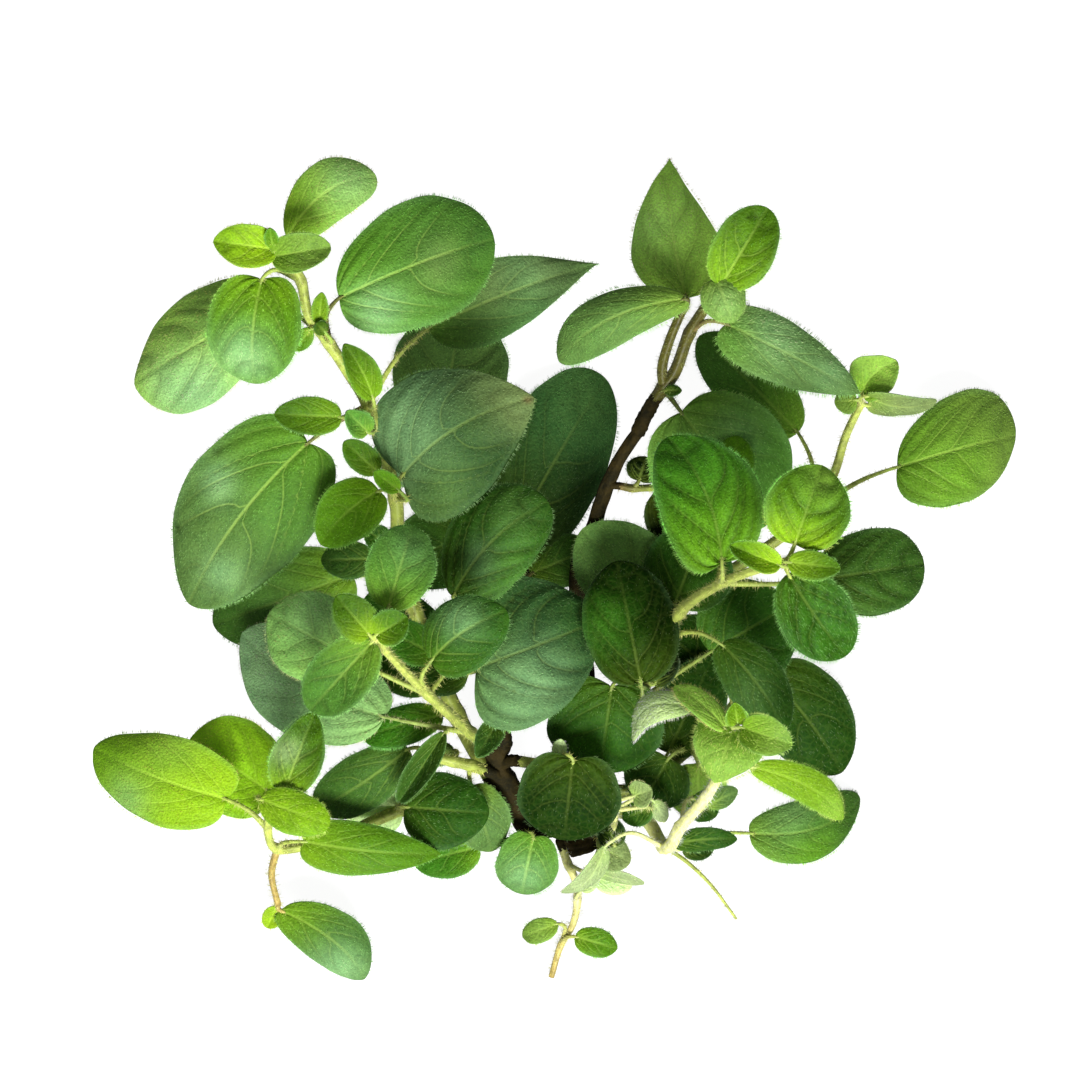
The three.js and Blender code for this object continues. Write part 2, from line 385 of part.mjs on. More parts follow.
// One leaf with its petiole, which starts inside the stem and runs out in the blade.
function leaf(route, [, index, baseAt, tipAt, width, shape]) {
  const grid = BLADE_GRIDS.find(({ from }) => width >= from);
  const node = vector(route[index]);
  const base = vector(baseAt);
  const surface = bladeSurface(base, vector(tipAt), width, shape);
  const inBlade = surface(PETIOLE_ROOT_DEPTH / base.distanceTo(vector(tipAt)), 0);
  const arrival = inBlade.clone().sub(base).normalize();
  const reach = node.distanceTo(base);
  const middle = node.clone().add(base).multiplyScalar(0.5)
    .lerp(base.clone().addScaledVector(arrival, -reach / 2), 0.5);
  const petioleRadius = PETIOLE_RADIUS.least + PETIOLE_RADIUS.perWidth * width;
  const petiole = tube(curveThrough([node, middle, base, inBlade]), petioleRadius, PETIOLE_END_RADIUS,
    grid.petioleSegments, grid.petioleSides);
  return solidOf(petiole).add(solidOf(blade(surface, grid.rows, grid.columns)));
}

function leafyStem(radii, route, leaves) {
  return joined([stem(radii, route, STEM_SIDES), ...leaves.map((row) => leaf(route, row))]);
}

function shoot([, , radii, route, leaves, sideStems]) {
  const branches = sideStems.map(([sideRadii, sideRoute, sideLeaves]) => leafyStem(sideRadii, sideRoute, sideLeaves));
  return joined([leafyStem(radii, route, leaves), ...branches]);
}

// The woody stub that meets a shoot's foot face to face.
function stub([, carriedAt, [radius], route]) {
  const foot = vector(route[0]);
  const outward = curveThrough(route.map(vector)).getTangentAt(0);
  const points = [
    vector(carriedAt),
    foot.clone().addScaledVector(outward, -STUB_LENGTH),
    foot.clone().addScaledVector(outward, -JOINT_GAP),
  ];
  return solidOf(tube(curveThrough(points), radius * 1.25, radius * 1.05, 3, WOOD_SIDES));
}

function woodyBase() {
  const limbs = WOODY_LIMBS.map(([startRadius, endRadius, route]) => stem([startRadius, endRadius], route, WOOD_SIDES));
  return joined([...limbs, ...SHOOTS.map(stub)]);
}

// ---------------------------------------------------------------- the assembly

function meshOf(name, solid, colour, roughness) {
  const { numProp, vertProperties, triVerts } = solid.getMesh();
  const positions = new Float32Array((vertProperties.length / numProp) * 3);
  for (let i = 0; i < positions.length / 3; i++) {
    positions.set(vertProperties.subarray(i * numProp, i * numProp + 3), i * 3);
  }
  const geometry = new THREE.BufferGeometry();
  geometry.setAttribute('position', new THREE.BufferAttribute(positions, 3));
  geometry.setIndex(new THREE.BufferAttribute(new Uint32Array(triVerts), 1));
  geometry.computeVertexNormals();
  const mesh = new THREE.Mesh(geometry, new THREE.MeshStandardMaterial({ color: colour, roughness, metalness: 0 }));
  mesh.name = name;
  return mesh;
}

const plant = new THREE.Group();
plant.name = 'oregano_plant';
plant.add(meshOf('woody_base', outerBody(trimmedAtSurface(woodyBase())), COLOURS.wood, 0.85));
for (const row of SHOOTS) {
  plant.add(meshOf('shoot_' + row[0], outerBody(trimmedAtSurface(shoot(row))), COLOURS.leaf, 0.6));
}

export default plant;
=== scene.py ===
"""Looks of the oregano plant: leaves with veins and hairs, square stems and bark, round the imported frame.

Lengths are millimetres until a mesh is made. The plant lies on z = 0 and is seen from above: +X is right
in the picture and +Y is up. The routes, the leaves and the formula of a blade are those of the solids.
"""

import math
from dataclasses import dataclass

import bpy
import numpy as np
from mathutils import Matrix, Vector


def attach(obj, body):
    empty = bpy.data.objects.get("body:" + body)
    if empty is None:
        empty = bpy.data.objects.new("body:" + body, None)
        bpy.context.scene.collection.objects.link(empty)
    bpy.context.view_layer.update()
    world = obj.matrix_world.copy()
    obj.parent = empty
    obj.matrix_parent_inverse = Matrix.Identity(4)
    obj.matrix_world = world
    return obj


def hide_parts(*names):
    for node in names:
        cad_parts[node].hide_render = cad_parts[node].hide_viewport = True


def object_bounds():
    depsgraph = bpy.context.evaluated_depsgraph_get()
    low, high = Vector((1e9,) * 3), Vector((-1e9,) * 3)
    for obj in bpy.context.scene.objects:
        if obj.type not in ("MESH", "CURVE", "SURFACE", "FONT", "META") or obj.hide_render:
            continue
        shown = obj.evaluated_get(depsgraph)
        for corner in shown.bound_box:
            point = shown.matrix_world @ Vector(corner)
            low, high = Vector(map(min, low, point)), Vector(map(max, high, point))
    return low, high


MM = 0.001
SEED = 9338
UP = np.array([0, 0, 1.0])

# ------------------------ the plant

BLADE_ROOT_WIDTH = 1.2
BLADE_THICKNESS = 0.5
PETIOLE_LEAST_RADIUS = 0.4
PETIOLE_RADIUS_PER_WIDTH = 0.01
PETIOLE_END_RADIUS = 0.25
PETIOLE_ROOT_DEPTH = 1.1
STUB_LENGTH = 2
JOINT_GAP = 0.3
STUB_OVERLAP = 0.8  # a stem's foot reaches this far back into its woody stub, so that no gap shows

# How a blade narrows: width goes as u^base * (1 - u)^tip, and the lobes reach back past the petiole.
BLADE_FORMS = {
    "ovate": (0.5, 0.6, 0.25),
    "oval": (0.5, 0.5, 0.15),
    "round": (0.44, 0.5, 0.45),
    "heart": (0.4, 0.85, 0.4),
    "broad": (0.42, 0.62, 0.4),
    "pointed": (0.6, 1.3, 0.15),
}

# Woody limbs: radius at the start, radius at the end, route.
WOODY_LIMBS = [
    (3.2, 2.6, [(5, -47, 1.8), (3.5, -44, 3.2), (1.5, -42, 5.8)]),
    (2.4, 1.7, [(1.5, -42.5, 6.5), (-2, -43, 7.5), (-5, -42.5, 8.5), (-6.2, -40, 10), (-7.6, -36.6, 12.5),
                (-9.8, -32.5, 15.6), (-8.8, -29.3, 17)]),
    (2.2, 1, [(3.5, -43, 5.5), (5, -36, 6.5), (5.3, -24, 7.5), (4.5, -12, 9), (4, 0, 11), (6.5, 7, 14),
              (8.9, 14.4, 19), (11, 18.5, 22), (13.8, 22.7, 25)]),
]


@dataclass
class Leaf:
    name: str  # the same as in the source of the solids
    node: int  # index of the stem's point that bears it
    base: tuple  # of the blade, where the stalk ends
    tip: tuple
    width: float
    tone: str
    light: float = 1  # scales the tone; besides the leaf's own lightness it is painted light and shade: raised for leaves that fall in shadow, near nought for leaves deep among others
    form: str = "ovate"
    arch: float = 0  # how far the midrib bows up
    bend: float = 0  # how far it bows to the right
    roll: float = 0  # degrees that the blade turns about its length, right edge down
    cup: float = 0  # degrees that its margins lift or, below zero, droop
    slant: float = 0  # sets the right half back towards the base and the left half forward
    foot: tuple = None  # tone, reach and share of what tints the blade's foot
    veins: float = 0.6  # this and the next two are strengths, 1 for a strong one
    quilt: float = 0.5
    wave: float = 0.6
    fur: tuple = (1, 1)  # number and length of the hairs, against the usual
    petiole: str = None  # tone of the stalk, where it isn't the stem's
    patches: tuple = ()  # of other tones: u, v, radius, tone, share; a silver one is a painted sheen


@dataclass
class Stem:
    shoot: str
    place: tuple  # on the wood that carries it; a side stem has none
    radii: tuple  # at foot and tip
    tones: tuple  # from foot to tip
    route: list
    leaves: list


# Every shoot's stems; the first is the one that stands on the wood.
STEMS = [
    Stem("centre_left", (-9.8, -32.5, 15.6), (1, 0.6), ("green", "yellow"), [(-12, -29.5, 19.5),
         (-14, -27.5, 24), (-21, -21, 38), (-28, -13.5, 50), (-29.5, -11.5, 54)], [
        Leaf("broad_grey", 1, (-28.5, -24.8, 24.5), (-52.5, -11, 9), 17.4, "silver", 0.93, arch=2, bend=-2.2,
             cup=-10, veins=0.35, patches=[(0.3, -0.4, 6, "grey", 0.45), (0.7, 0.5, 6, "pale", 0.2)]),
        Leaf("edge_on", 1, (-18.8, -24.6, 23.5), (-32, -28.3, 21.5), 7, "mid", 0.88, form="oval", arch=1,
             roll=15, fur=(1.6, 1.2)),
        Leaf("dark_inner", 2, (-19.5, -14.5, 33), (-29, -10, 31), 7, "mid", 0.86),
        Leaf("pair_left", 2, (-34.5, -14.5, 39), (-47.5, -7.5, 34), 15, "grey", 1.83, arch=1.5, cup=-8,
             patches=[(0.5, 0.5, 5, "silver", 0.45)]),
        Leaf("pair_right", 2, (-20.5, -15.3, 44), (-8, -7, 48), 12.5, "mid", 0.5, arch=2, bend=-0.8, roll=-8,
             cup=-10, veins=0.8, patches=[(0.55, -0.35, 3.5, "silver", 0.45)]),
        Leaf("tip_down", 3, (-30, -12, 54), (-40.5, -23.5, 46), 10.5, "leaf", 0.67, arch=2, cup=8, veins=0.7,
             quilt=0.8),
        Leaf("tip_up", 3, (-27.5, -6.5, 54), (-23.5, 7, 50), 11.5, "leaf", 0.96, arch=2, cup=10, veins=0.7,
             patches=[(0.7, 0.2, 4, "silver", 0.25)]),
        Leaf("bud_left", 4, (-30.5, -11, 56), (-36, -4.5, 59), 7, "fresh", 0.34, arch=0.5, cup=12,
             foot=("lime", 0.35, 0.5), veins=0.5, quilt=0.4),
        Leaf("bud_right", 4, (-29.5, -11, 56), (-24.3, -8, 58), 6.5, "fresh", 0.46, form="oval", arch=0.5,
             cup=22, foot=("lime", 0.3, 0.45), quilt=0.4),
    ]),
    Stem("centre", (-8.8, -29.3, 17), (1.4, 0.7), ("green", "green"), [(-9.2, -26.8, 18.5), (-10.5, -22, 21),
         (-12, -15.5, 24), (-14, -5.5, 28), (-12.5, 1, 30.5)], [
        Leaf("hanging_small", 1, (-9.5, -25.5, 25), (-13, -31.5, 30), 4.5, "leaf", 0.52, cup=20),
        Leaf("broad_right", 2, (-13.1, -16.6, 29), (8.5, -8.2, 22), 25, "slate", 0.76, form="heart", arch=2.5,
             bend=0.2, cup=-10, slant=0.1, veins=0.45, quilt=1, patches=[(0.32, 0.5, 7, "silver", 0.5),
             (0.75, -0.2, 5, "dark", 0.45), (0.15, -0.5, 4, "dark", 0.3)]),
        Leaf("dark_left", 2, (-14.5, -17.5, 24.6), (-26, -14.5, 22), 10.5, "dark", 0.42),
        Leaf("upper", 4, (-17, -4.8, 33), (-1.2, 11.1, 35), 15.6, "dark", 0.95, form="oval", arch=2,
             bend=-1.9, cup=-12, slant=0.2, veins=0.5, quilt=1, patches=[(0.5, 0.7, 5, "leaf", 0.5),
             (0.75, -0.2, 4, "grey", 0.3), (0.35, 0.1, 3, "silver", 0.25)]),
    ]),
    Stem("upper_left", (-7.6, -36.6, 12.5), (1.4, 0.75), ("green", "yellow"), [(-11, -34.5, 12.5),
         (-16.5, -24.5, 14), (-21.5, -12, 18), (-26, 1.5, 25), (-26.5, 11.5, 31), (-31, 27, 37),
         (-34.3, 32.5, 39), (-37.4, 37.2, 41), (-40.8, 42, 44), (-42, 47.5, 47), (-45, 52.5, 51)], [
        Leaf("under_centre", 1, (-20, -20, 12), (-31, -4, 8), 15, "dark", 1.35),
        Leaf("resting_dark", 2, (-34, -1.2, 12), (-57.5, -9.6, 0.2), 16.6, "leaf", 0.5, arch=2.5, cup=-6,
             veins=0.4, patches=[(0.5, 0.2, 5, "grey", 0.2)]),
        Leaf("inner_small", 3, (-30.5, 1.5, 26), (-39, 1.3, 25), 6.5, "leaf", 0.45),
        Leaf("inner_bright", 3, (-28, 4, 30), (-31.5, 6.5, 31), 4.5, "mid", 0.5, cup=15),
        Leaf("broad_dark", 4, (-25.4, 15.3, 37), (-3.5, 28.3, 41), 24.5, "slate", 0.48, form="heart", arch=3,
             bend=-2.2, cup=-12, veins=0.55, patches=[(0.9, -0.1, 7, "drab", 0.65),
             (0.2, -0.5, 8, "silver", 0.6), (0.25, 0.6, 5, "grey", 0.3), (0.55, 0.1, 6, "dark", 0.35),
             (0.96, 0.1, 0.7, "rust", 0.6)]),
        Leaf("left_small", 4, (-29.2, 12.8, 35), (-39, 4, 37), 10.2, "fresh", 0.9, arch=1, bend=0.9, cup=8,
             veins=0.7),
        Leaf("bud_a", 4, (-29.5, 16, 37), (-35, 21, 39), 5, "fresh", 0.53, cup=10),
        Leaf("bud_b", 4, (-26, 13, 39), (-30, 16, 41), 3.5, "fresh", 1.2, cup=20),
        Leaf("big_left", 5, (-41, 20.8, 34), (-61.1, -6, 22), 22.6, "grey", 0.6, form="broad", arch=3,
             bend=1.8, cup=-8, slant=0.1, foot=("fresh", 0.35, 0.6), veins=1.2, quilt=0.6, petiole="brown",
             patches=[(0.3, -0.6, 7, "leaf", 0.6), (0.42, 0.55, 3, "silver", 0.55),
             (0.75, -0.35, 3.5, "silver", 0.4), (0.33, 0.88, 0.6, "black", 0.8),
             (0.73, 0.85, 0.6, "black", 0.7)]),
        Leaf("pointed_right", 5, (-21, 40, 30), (7.5, 51, 14), 13.5, "slate", 2.1, form="pointed", arch=2,
             bend=-1, roll=8, cup=-6, veins=0.8, petiole="yellow", patches=[(0.35, -0.6, 7, "drab", 0.6),
             (0.75, -0.6, 8, "drab", 0.6), (0.6, -0.6, 6, "silver", 0.25)]),
        Leaf("left_oval", 5, (-35.5, 25, 40), (-46.5, 25.5, 41), 6.5, "fresh", 0.37, cup=8,
             foot=("bright", 0.5, 0.5)),
        Leaf("axil_a", 5, (-31, 22.5, 41), (-34.5, 26, 44), 5, "leaf", 0.95, cup=25),
        Leaf("axil_b", 5, (-30.2, 28.3, 42), (-34.8, 37, 49), 5.8, "fresh", 0.3, bend=0.5, cup=25,
             foot=("bright", 0.6, 0.6)),
        Leaf("big_right", 7, (-35.7, 44.7, 44), (-10.1, 54.7, 34), 20.8, "leaf", 0.93, form="oval", arch=3,
             bend=-0.6, cup=-8, slant=0.18, foot=("fresh", 0.3, 0.6), veins=1.2, petiole="brown",
             patches=[(0.2, 0.55, 4.5, "silver", 0.65), (0.6, 0.1, 5, "drab", 0.4),
             (0.9, -0.1, 3.5, "slate", 0.4)]),
        Leaf("far_left", 7, (-48.8, 42.6, 38), (-70.1, 30.7, 26), 19.4, "fair", 1.12, arch=3, bend=-0.2,
             roll=15, cup=-20, slant=0.3, veins=1, quilt=0.6, fur=(1.3, 1),
             patches=[(0.5, -0.75, 8, "silver", 0.85), (0.75, -0.5, 5, "silver", 0.5),
             (0.4, 0.6, 6, "grey", 0.5)]),
        Leaf("axil_c", 7, (-39, 40.5, 46), (-38.5, 45.5, 50), 3, "bright", 0.6, cup=20),
        Leaf("axil_d", 7, (-38, 39, 46), (-39.5, 40.5, 48), 2.5, "fresh", 0.3),
        Leaf("axil_e", 7, (-40.5, 39.5, 44), (-43, 36, 42), 3, "fresh", 0.66),
        Leaf("tip_down", 9, (-48.4, 47.7, 49), (-49.6, 30.5, 44), 15.8, "fresh", 0.66, form="broad", arch=3,
             bend=0.9, cup=8, foot=("bright", 0.25, 0.6), veins=0.8, quilt=0.8, fur=(1.3, 1),
             patches=[(0.72, 0.2, 5, "silver", 0.7)]),
        Leaf("tip_up", 9, (-44.2, 54.5, 50), (-29.6, 64.8, 46), 10.2, "fair", 1.08, form="oval", arch=3,
             bend=-2.5, cup=-10, slant=0.2, foot=("bright", 0.6, 0.8), veins=1, quilt=0.3, wave=0.3,
             patches=[(0.75, 0.1, 6, "silver", 0.55)]),
        Leaf("bud_left", 10, (-46, 52.5, 53), (-56.3, 53.9, 55), 7.6, "bright", 0.8, arch=1, cup=18,
             foot=("lime", 0.6, 0.9), veins=1, quilt=0.8),
        Leaf("bud_right", 10, (-46.7, 51.3, 53), (-36.9, 52.9, 56), 7.2, "fair", 0.66, form="oval", arch=1,
             cup=25, foot=("bright", 0.4, 0.5), quilt=0.6),
        Leaf("bud_mid", 10, (-46.5, 53, 54), (-47, 56, 57), 2.5, "fresh", 0.7, cup=20),
    ]),
    Stem("low_back", (4.5, -12, 9), (1.1, 0.6), ("brown", "brown"), [(1.2, -10.5, 8.6), (-4, -3, 7.5),
         (-8, 8, 7), (-13, 19, 6.5), (-17, 26, 6.5)], [
        Leaf("gap_dark", 2, (-13, 5.7, 7.5), (-27.5, 0.7, 4), 14, "leaf", 0.7),
        Leaf("under_small", 1, (-4, -1, 8.5), (6.5, 3.5, 5.5), 9, "leaf", 0.55),
        # The black patches at this blade's foot and middle are painted shade, where it lies low under other
        # leaves.
        Leaf("dark_high", 2, (-6.7, 5.5, 8), (8.6, 31.8, 0.2), 19, "slate", 1.7, form="round", arch=2,
             bend=-0.8, roll=8, cup=-8, slant=0.3, veins=0.4, patches=[(0.05, 0.1, 12, "black", 0.9),
             (0.45, 0.5, 7, "black", 0.6), (0.85, -0.3, 7, "grey", 0.3)]),
        Leaf("left_under", 3, (-16, 17.5, 7), (-31, 19, 3), 10, "silver", arch=1),
        Leaf("shaded_back", 4, (-18.8, 24.8, 7), (-15.8, 43, 0.2), 19.5, "grey", 0.9, form="round", arch=1),
    ]),
    Stem("limb_leaf", (8.9, 14.4, 19), (0.6, 0.5), ("brown", "green"), [(11.3, 13.6, 19.6), (13, 13.3, 19.8),
         (16, 13.4, 19)], [
        # These two blades are set almost black: painted shade under the leaves above them.
        Leaf("dark_small", 1, (14, 14.6, 20), (15.3, 18.6, 20), 5.5, "night", 0.2),
        Leaf("under_right", 2, (17, 13, 18.5), (27, 6, 14.5), 14, "night", 0.05),
    ]),
    Stem("upper_right", (13.8, 22.7, 25), (1.05, 0.75), ("moss", "moss"), [(17.1, 28.7, 29.8),
         (18.1, 30.1, 30.7), (19.9, 32.6, 32), (22.3, 39, 35.5), (25.4, 44, 40), (27.5, 47.5, 44)], [
        Leaf("low_right", 1, (21, 26, 26), (35.5, 7.2, 18.8), 24, "leaf", 1.08, arch=3, cup=-10, veins=0.5,
             patches=[(0.15, 0.55, 6, "grey", 0.5), (0.7, 0, 7, "dark", 0.45),
             (0.3, -0.5, 5, "silver", 0.3)]),
        Leaf("bud_node", 1, (18.5, 29.5, 32), (21, 29.5, 34), 2, "night", 1.3, cup=10),
        Leaf("long_right", 3, (28.3, 40.5, 39), (50.6, 29, 34.5), 11.2, "grey", 0.84, form="heart", arch=4,
             bend=0.3, roll=-8, cup=-16, veins=0.7, fur=(1.3, 1.4), petiole="brown",
             patches=[(0.3, -0.4, 6, "silver", 0.55), (0.1, 0.6, 4, "leaf", 0.6),
             (0.75, -0.3, 4, "silver", 0.4)]),
        Leaf("tip_right", 5, (27.4, 46.6, 46), (35.1, 59.5, 49), 10.8, "fresh", 0.41, form="oval", arch=1,
             cup=12, foot=("bright", 0.5, 0.7), veins=1, quilt=0.9,
             patches=[(0.82, -0.47, 0.5, "black", 0.8)]),
        Leaf("tip_down", 5, (26.6, 47.8, 46), (29.4, 40.7, 46.5), 8, "fair", 0.68, arch=1.5, cup=-20,
             patches=[(0.5, 0, 4, "silver", 0.3)]),
    ]),
    Stem("upper_right", None, (0.85, 0.7), ("moss", "moss"), [(18.1, 30.1, 30.7), (17.8, 33.2, 32.5),
         (18.9, 37.5, 35), (20.4, 41.2, 37), (21.5, 43.5, 38)], [
        Leaf("pointed_up", 4, (21.8, 45, 33), (19.2, 68.6, 17), 15, "fair", 1.65, form="pointed", arch=2,
             bend=-1.1, cup=-8, veins=0.5, patches=[(0.12, 0, 6, "dark", 0.6),
             (0.5, -0.5, 7, "silver", 0.3)]),
        Leaf("drooping_left", 4, (21.7, 44.6, 39), (0.7, 34.3, 31), 9.8, "grey", 0.82, form="oval", arch=4,
             bend=2.6, cup=-25, slant=-0.2, veins=0.7, fur=(1.3, 1.3), patches=[(0.6, 0.2, 6, "grey", 0.4)]),
    ]),
    Stem("far_right", (4.5, -12, 9), (1.1, 0.6), ("green", "yellow"), [(8, -10.5, 10), (17.5, -7, 11),
         (31, 0.5, 13), (43, 9.5, 16), (46.5, 15.5, 19), (48.5, 22, 23), (51, 27.5, 28)], [
        Leaf("resting_broad", 3, (57.4, 16.9, 12), (77.6, 22.3, 0.2), 18.4, "fair", 0.57, form="oval",
             arch=2.5, bend=-0.3, cup=-8, slant=0.38, foot=("fresh", 0.4, 0.6), veins=1, petiole="yellow",
             patches=[(0.5, 0.5, 6, "fresh", 0.5)]),
        Leaf("dark_back", 3, (40.6, 22.8, 12), (24.3, 39, 0.2), 11.4, "leaf", 0.98, arch=2, bend=0.3),
        Leaf("tip_back", 6, (51, 29, 30), (56.8, 34.4, 32.5), 8.4, "fair", 0.88, bend=-1, cup=25,
             foot=("bright", 0.4, 0.5)),
        Leaf("tip_side", 6, (52, 28.6, 31), (63.5, 27.8, 31), 6.4, "drab", 0.8, arch=1.5, roll=58,
             foot=("bright", 0.3, 0.4)),
        Leaf("tip_left", 6, (50, 28, 30), (46.5, 27.5, 29), 4.5, "fair", 0.58, cup=-10),
        Leaf("tip_low", 6, (52.1, 27.1, 28), (58.5, 26.3, 26), 3.4, "drab", 0.6, roll=30),
    ]),
    Stem("right", (5.2, -30, 7), (1.2, 0.7), ("green", "yellow"), [(8, -28, 8.5), (13.5, -23, 12),
         (16.5, -15, 19), (18.7, -11.3, 24), (21, -7, 29), (27.5, -2.5, 38), (32.5, -0.5, 44), (38, 1, 49)], [
        Leaf("inner_round", 1, (14.3, -19, 28), (10.3, 1.2, 26), 16, "dark", 0.24, arch=2, cup=-8, veins=0.35,
             quilt=0.9, fur=(0.6, 1), patches=[(0.5, -0.5, 5, "mid", 0.6)]),
        Leaf("facing", 1, (9.5, -19.8, 20), (7.5, -34.3, 15), 19.5, "dark", 0.87, form="round", arch=1.5,
             cup=-8, veins=0.35, fur=(0.6, 1), patches=[(0.8, 0.2, 6, "mid", 0.6)]),
        Leaf("inner_wide", 1, (26, -14.1, 12), (39.5, -6.1, 10), 18, "dark", 1.5, arch=2),
        Leaf("inner_small", 2, (16.5, -19.5, 20), (20, -14, 22), 4.5, "night", 0.1),
        Leaf("side_dark", 3, (27.7, -12.7, 28), (38.3, -27.5, 23), 10, "dark", 0.95, arch=2, bend=-1, cup=-12,
             veins=0.35, patches=[(0.5, 0.3, 4, "grey", 0.3)]),
        Leaf("under_dark", 4, (20, -6, 21.5), (25, 7, 19.5), 15, "dark", 1.1),
        Leaf("under_left", 4, (17.5, -6.5, 17.5), (4.5, 6.5, 17), 15.5, "grey", 1.35, arch=1),
        Leaf("broad_bright", 5, (27.6, 1, 43), (18.6, 21.7, 38), 17.4, "mid", 0.95, form="broad", arch=2,
             bend=2.1, cup=10, foot=("bright", 0.35, 0.4), veins=0.45, quilt=1.1, fur=(1.4, 1.3),
             patches=[(0.35, -0.5, 4.5, "fresh", 0.35), (0.3, 0.5, 4, "fresh", 0.25),
             (0.85, 0.1, 4, "dark", 0.3)]),
        Leaf("dark_outer", 5, (43.5, -2, 34), (61.5, 0.8, 26), 14.6, "leaf", 0.39, form="oval", arch=2,
             cup=-6, veins=0.3, quilt=0.9, fur=(1.4, 1)),
        Leaf("small_back", 5, (28.5, 12.5, 28), (30.5, 22, 26), 7.5, "fresh", 0.85, arch=1),
        # The fair patch near this blade's tip is a painted sheen.
        Leaf("tip_up", 7, (39.5, 4, 52), (44, 17, 53), 14.5, "fresh", 0.58, arch=2.5, cup=14,
             foot=("lime", 0.3, 0.6), veins=0.5, quilt=0.9, fur=(1.6, 1.3),
             patches=[(0.85, 0.2, 4, "fair", 0.5)]),
        Leaf("tip_down", 7, (38.5, -1, 51), (48.1, -14.5, 44), 12.2, "mid", 0.58, arch=2, bend=0.4, cup=8,
             veins=0.35, quilt=1.2, fur=(1.6, 1.4)),
        Leaf("bud_right", 7, (38.5, 1, 53), (47, 0, 55), 5, "fresh", 0.44, cup=12, foot=("lime", 0.5, 0.5)),
        Leaf("bud_left", 7, (37, 0.5, 53), (28.8, 3.8, 54), 6, "fresh", 0.56, cup=40, foot=("lime", 0.6, 0.8),
             fur=(1.5, 1)),
    ]),
    Stem("lower_right", (4.4, -40, 6), (1.2, 0.7), ("green", "white", "white", "white"), [(8.5, -40.4, 6.5),
         (15, -42, 8.5), (18.3, -46.8, 12), (21, -43, 24), (25, -38, 36), (27, -34.5, 44), (29, -30, 51)], [
        Leaf("curled_left", 4, (22.3, -23, 51), (12.8, -28.3, 45), 6, "pale", 0.95, arch=3, bend=2, roll=35,
             cup=-10, veins=0.3, quilt=0.3, fur=(1.8, 1.4)),
        Leaf("long_right", 4, (32.6, -32.9, 44), (47.8, -41.7, 33), 6.2, "bright", 0.62, arch=2.5, bend=-2.3,
             roll=10, cup=-10, veins=0.4, quilt=0.3, fur=(1.6, 1.4), patches=[(0.85, 0.2, 4, "fair", 0.5)]),
        Leaf("tip_front", 6, (29.5, -26, 55), (26.2, -35.3, 56), 12, "fair", 0.79, form="heart", arch=2.5,
             cup=-10, foot=("bright", 0.4, 0.4), veins=0.5, quilt=0.4, fur=(1.8, 1.4)),
        Leaf("tip_right", 6, (30.8, -26.2, 57), (39, -29, 59), 7, "fair", 0.64, arch=1.5, cup=20,
             foot=("bright", 0.5, 0.6), quilt=0.3, fur=(1.8, 1.4)),
        Leaf("bud_left", 6, (28, -26.5, 56), (19.5, -19.5, 55), 5.5, "fair", 1.18, arch=1, roll=40, quilt=0.4,
             fur=(1.8, 1.4)),
        Leaf("bud_up", 6, (30, -25.5, 56), (29.5, -22, 59), 4.5, "bright", 0.55, cup=35, fur=(1.8, 1.3)),
        Leaf("low_blade", 2, (20, -46.2, 14), (30.5, -45.3, 15), 4.4, "dark", 0.99, arch=1.5, bend=-1,
             roll=20),
        Leaf("drooping", 2, (8.3, -46.6, 18), (1.2, -54.4, 13), 5, "pale", 0.68, arch=2, roll=-50),
        Leaf("low_small", 2, (21.5, -47.2, 11), (26.7, -47, 10), 4, "dark", 0.5),
        Leaf("resting_wide", 2, (32.7, -44.5, 10), (51.4, -38.9, 0.2), 10.8, "leaf", 0.54, arch=2.5, bend=2.5,
             cup=-8, slant=0.2, veins=0.5, fur=(1.4, 1), petiole="yellow",
             patches=[(0.3, -0.5, 5, "silver", 0.3), (0.45, 0.75, 5, "fresh", 0.6)]),
        Leaf("inner_dark", 3, (23, -38.5, 20), (27, -41.5, 17), 5.5, "dark", 0.7),
        Leaf("inner_blade", 3, (25.5, -39.5, 24), (30.5, -37, 23), 4, "grey", 0.6, roll=30),
    ]),
    Stem("lower_right", None, (0.35, 0.2), ("green", "yellow"), [(18.3, -46.8, 12), (21.5, -48.8, 11),
         (26, -53, 8), (30.5, -59, 5)], []),
    Stem("right_low", (4.9, -37, 6.4), (1.1, 0.6), ("green", "green"), [(8, -37.5, 6.5), (14, -37, 6),
         (22.5, -30.5, 7), (30, -23, 8), (33.5, -19.5, 8.5)], [
        Leaf("resting_dark", 3, (36, -18, 8), (48.3, -34.5, 0.2), 15.4, "dark", 0.6, form="broad", arch=2.5,
             bend=-0.7, cup=-6, veins=0.3, fur=(0.6, 1)),
        Leaf("inner_a", 2, (19, -32, 12), (14.5, -40, 8.5), 11.5, "dark", 0.65, veins=0.35),
        Leaf("inner_b", 2, (24, -33, 11), (24, -42.5, 6), 10, "fair", 0.95),
        Leaf("inner_d", 3, (28, -18.5, 8.5), (17.5, -10, 5), 14, "dark", 0.74),
        Leaf("inner_c", 1, (19, -31, 9.5), (26.5, -15, 9), 12, "dark", 0.56, veins=0.35),
    ]),
    Stem("lower_left", (-6.2, -40, 10), (1.2, 0.6), ("green", "yellow"), [(-9.3, -39, 10.8),
         (-16, -38.5, 10.5), (-25.5, -40.5, 11), (-36.5, -45, 13), (-46.5, -47, 14), (-48, -43.5, 19),
         (-47, -39, 25)], [
        Leaf("inner_wide", 2, (-25, -40, 16), (-11, -41, 18), 13, "dark", 0.98, arch=2, cup=-8, veins=0.5),
        Leaf("pale_inner", 2, (-26, -39.8, 12), (-35.5, -41, 9), 9.6, "pale", 1.35, roll=-20),
        Leaf("long_bright", 4, (-42, -45.7, 20), (-19, -47.8, 18), 9.5, "fresh", 0.57, form="heart", arch=3,
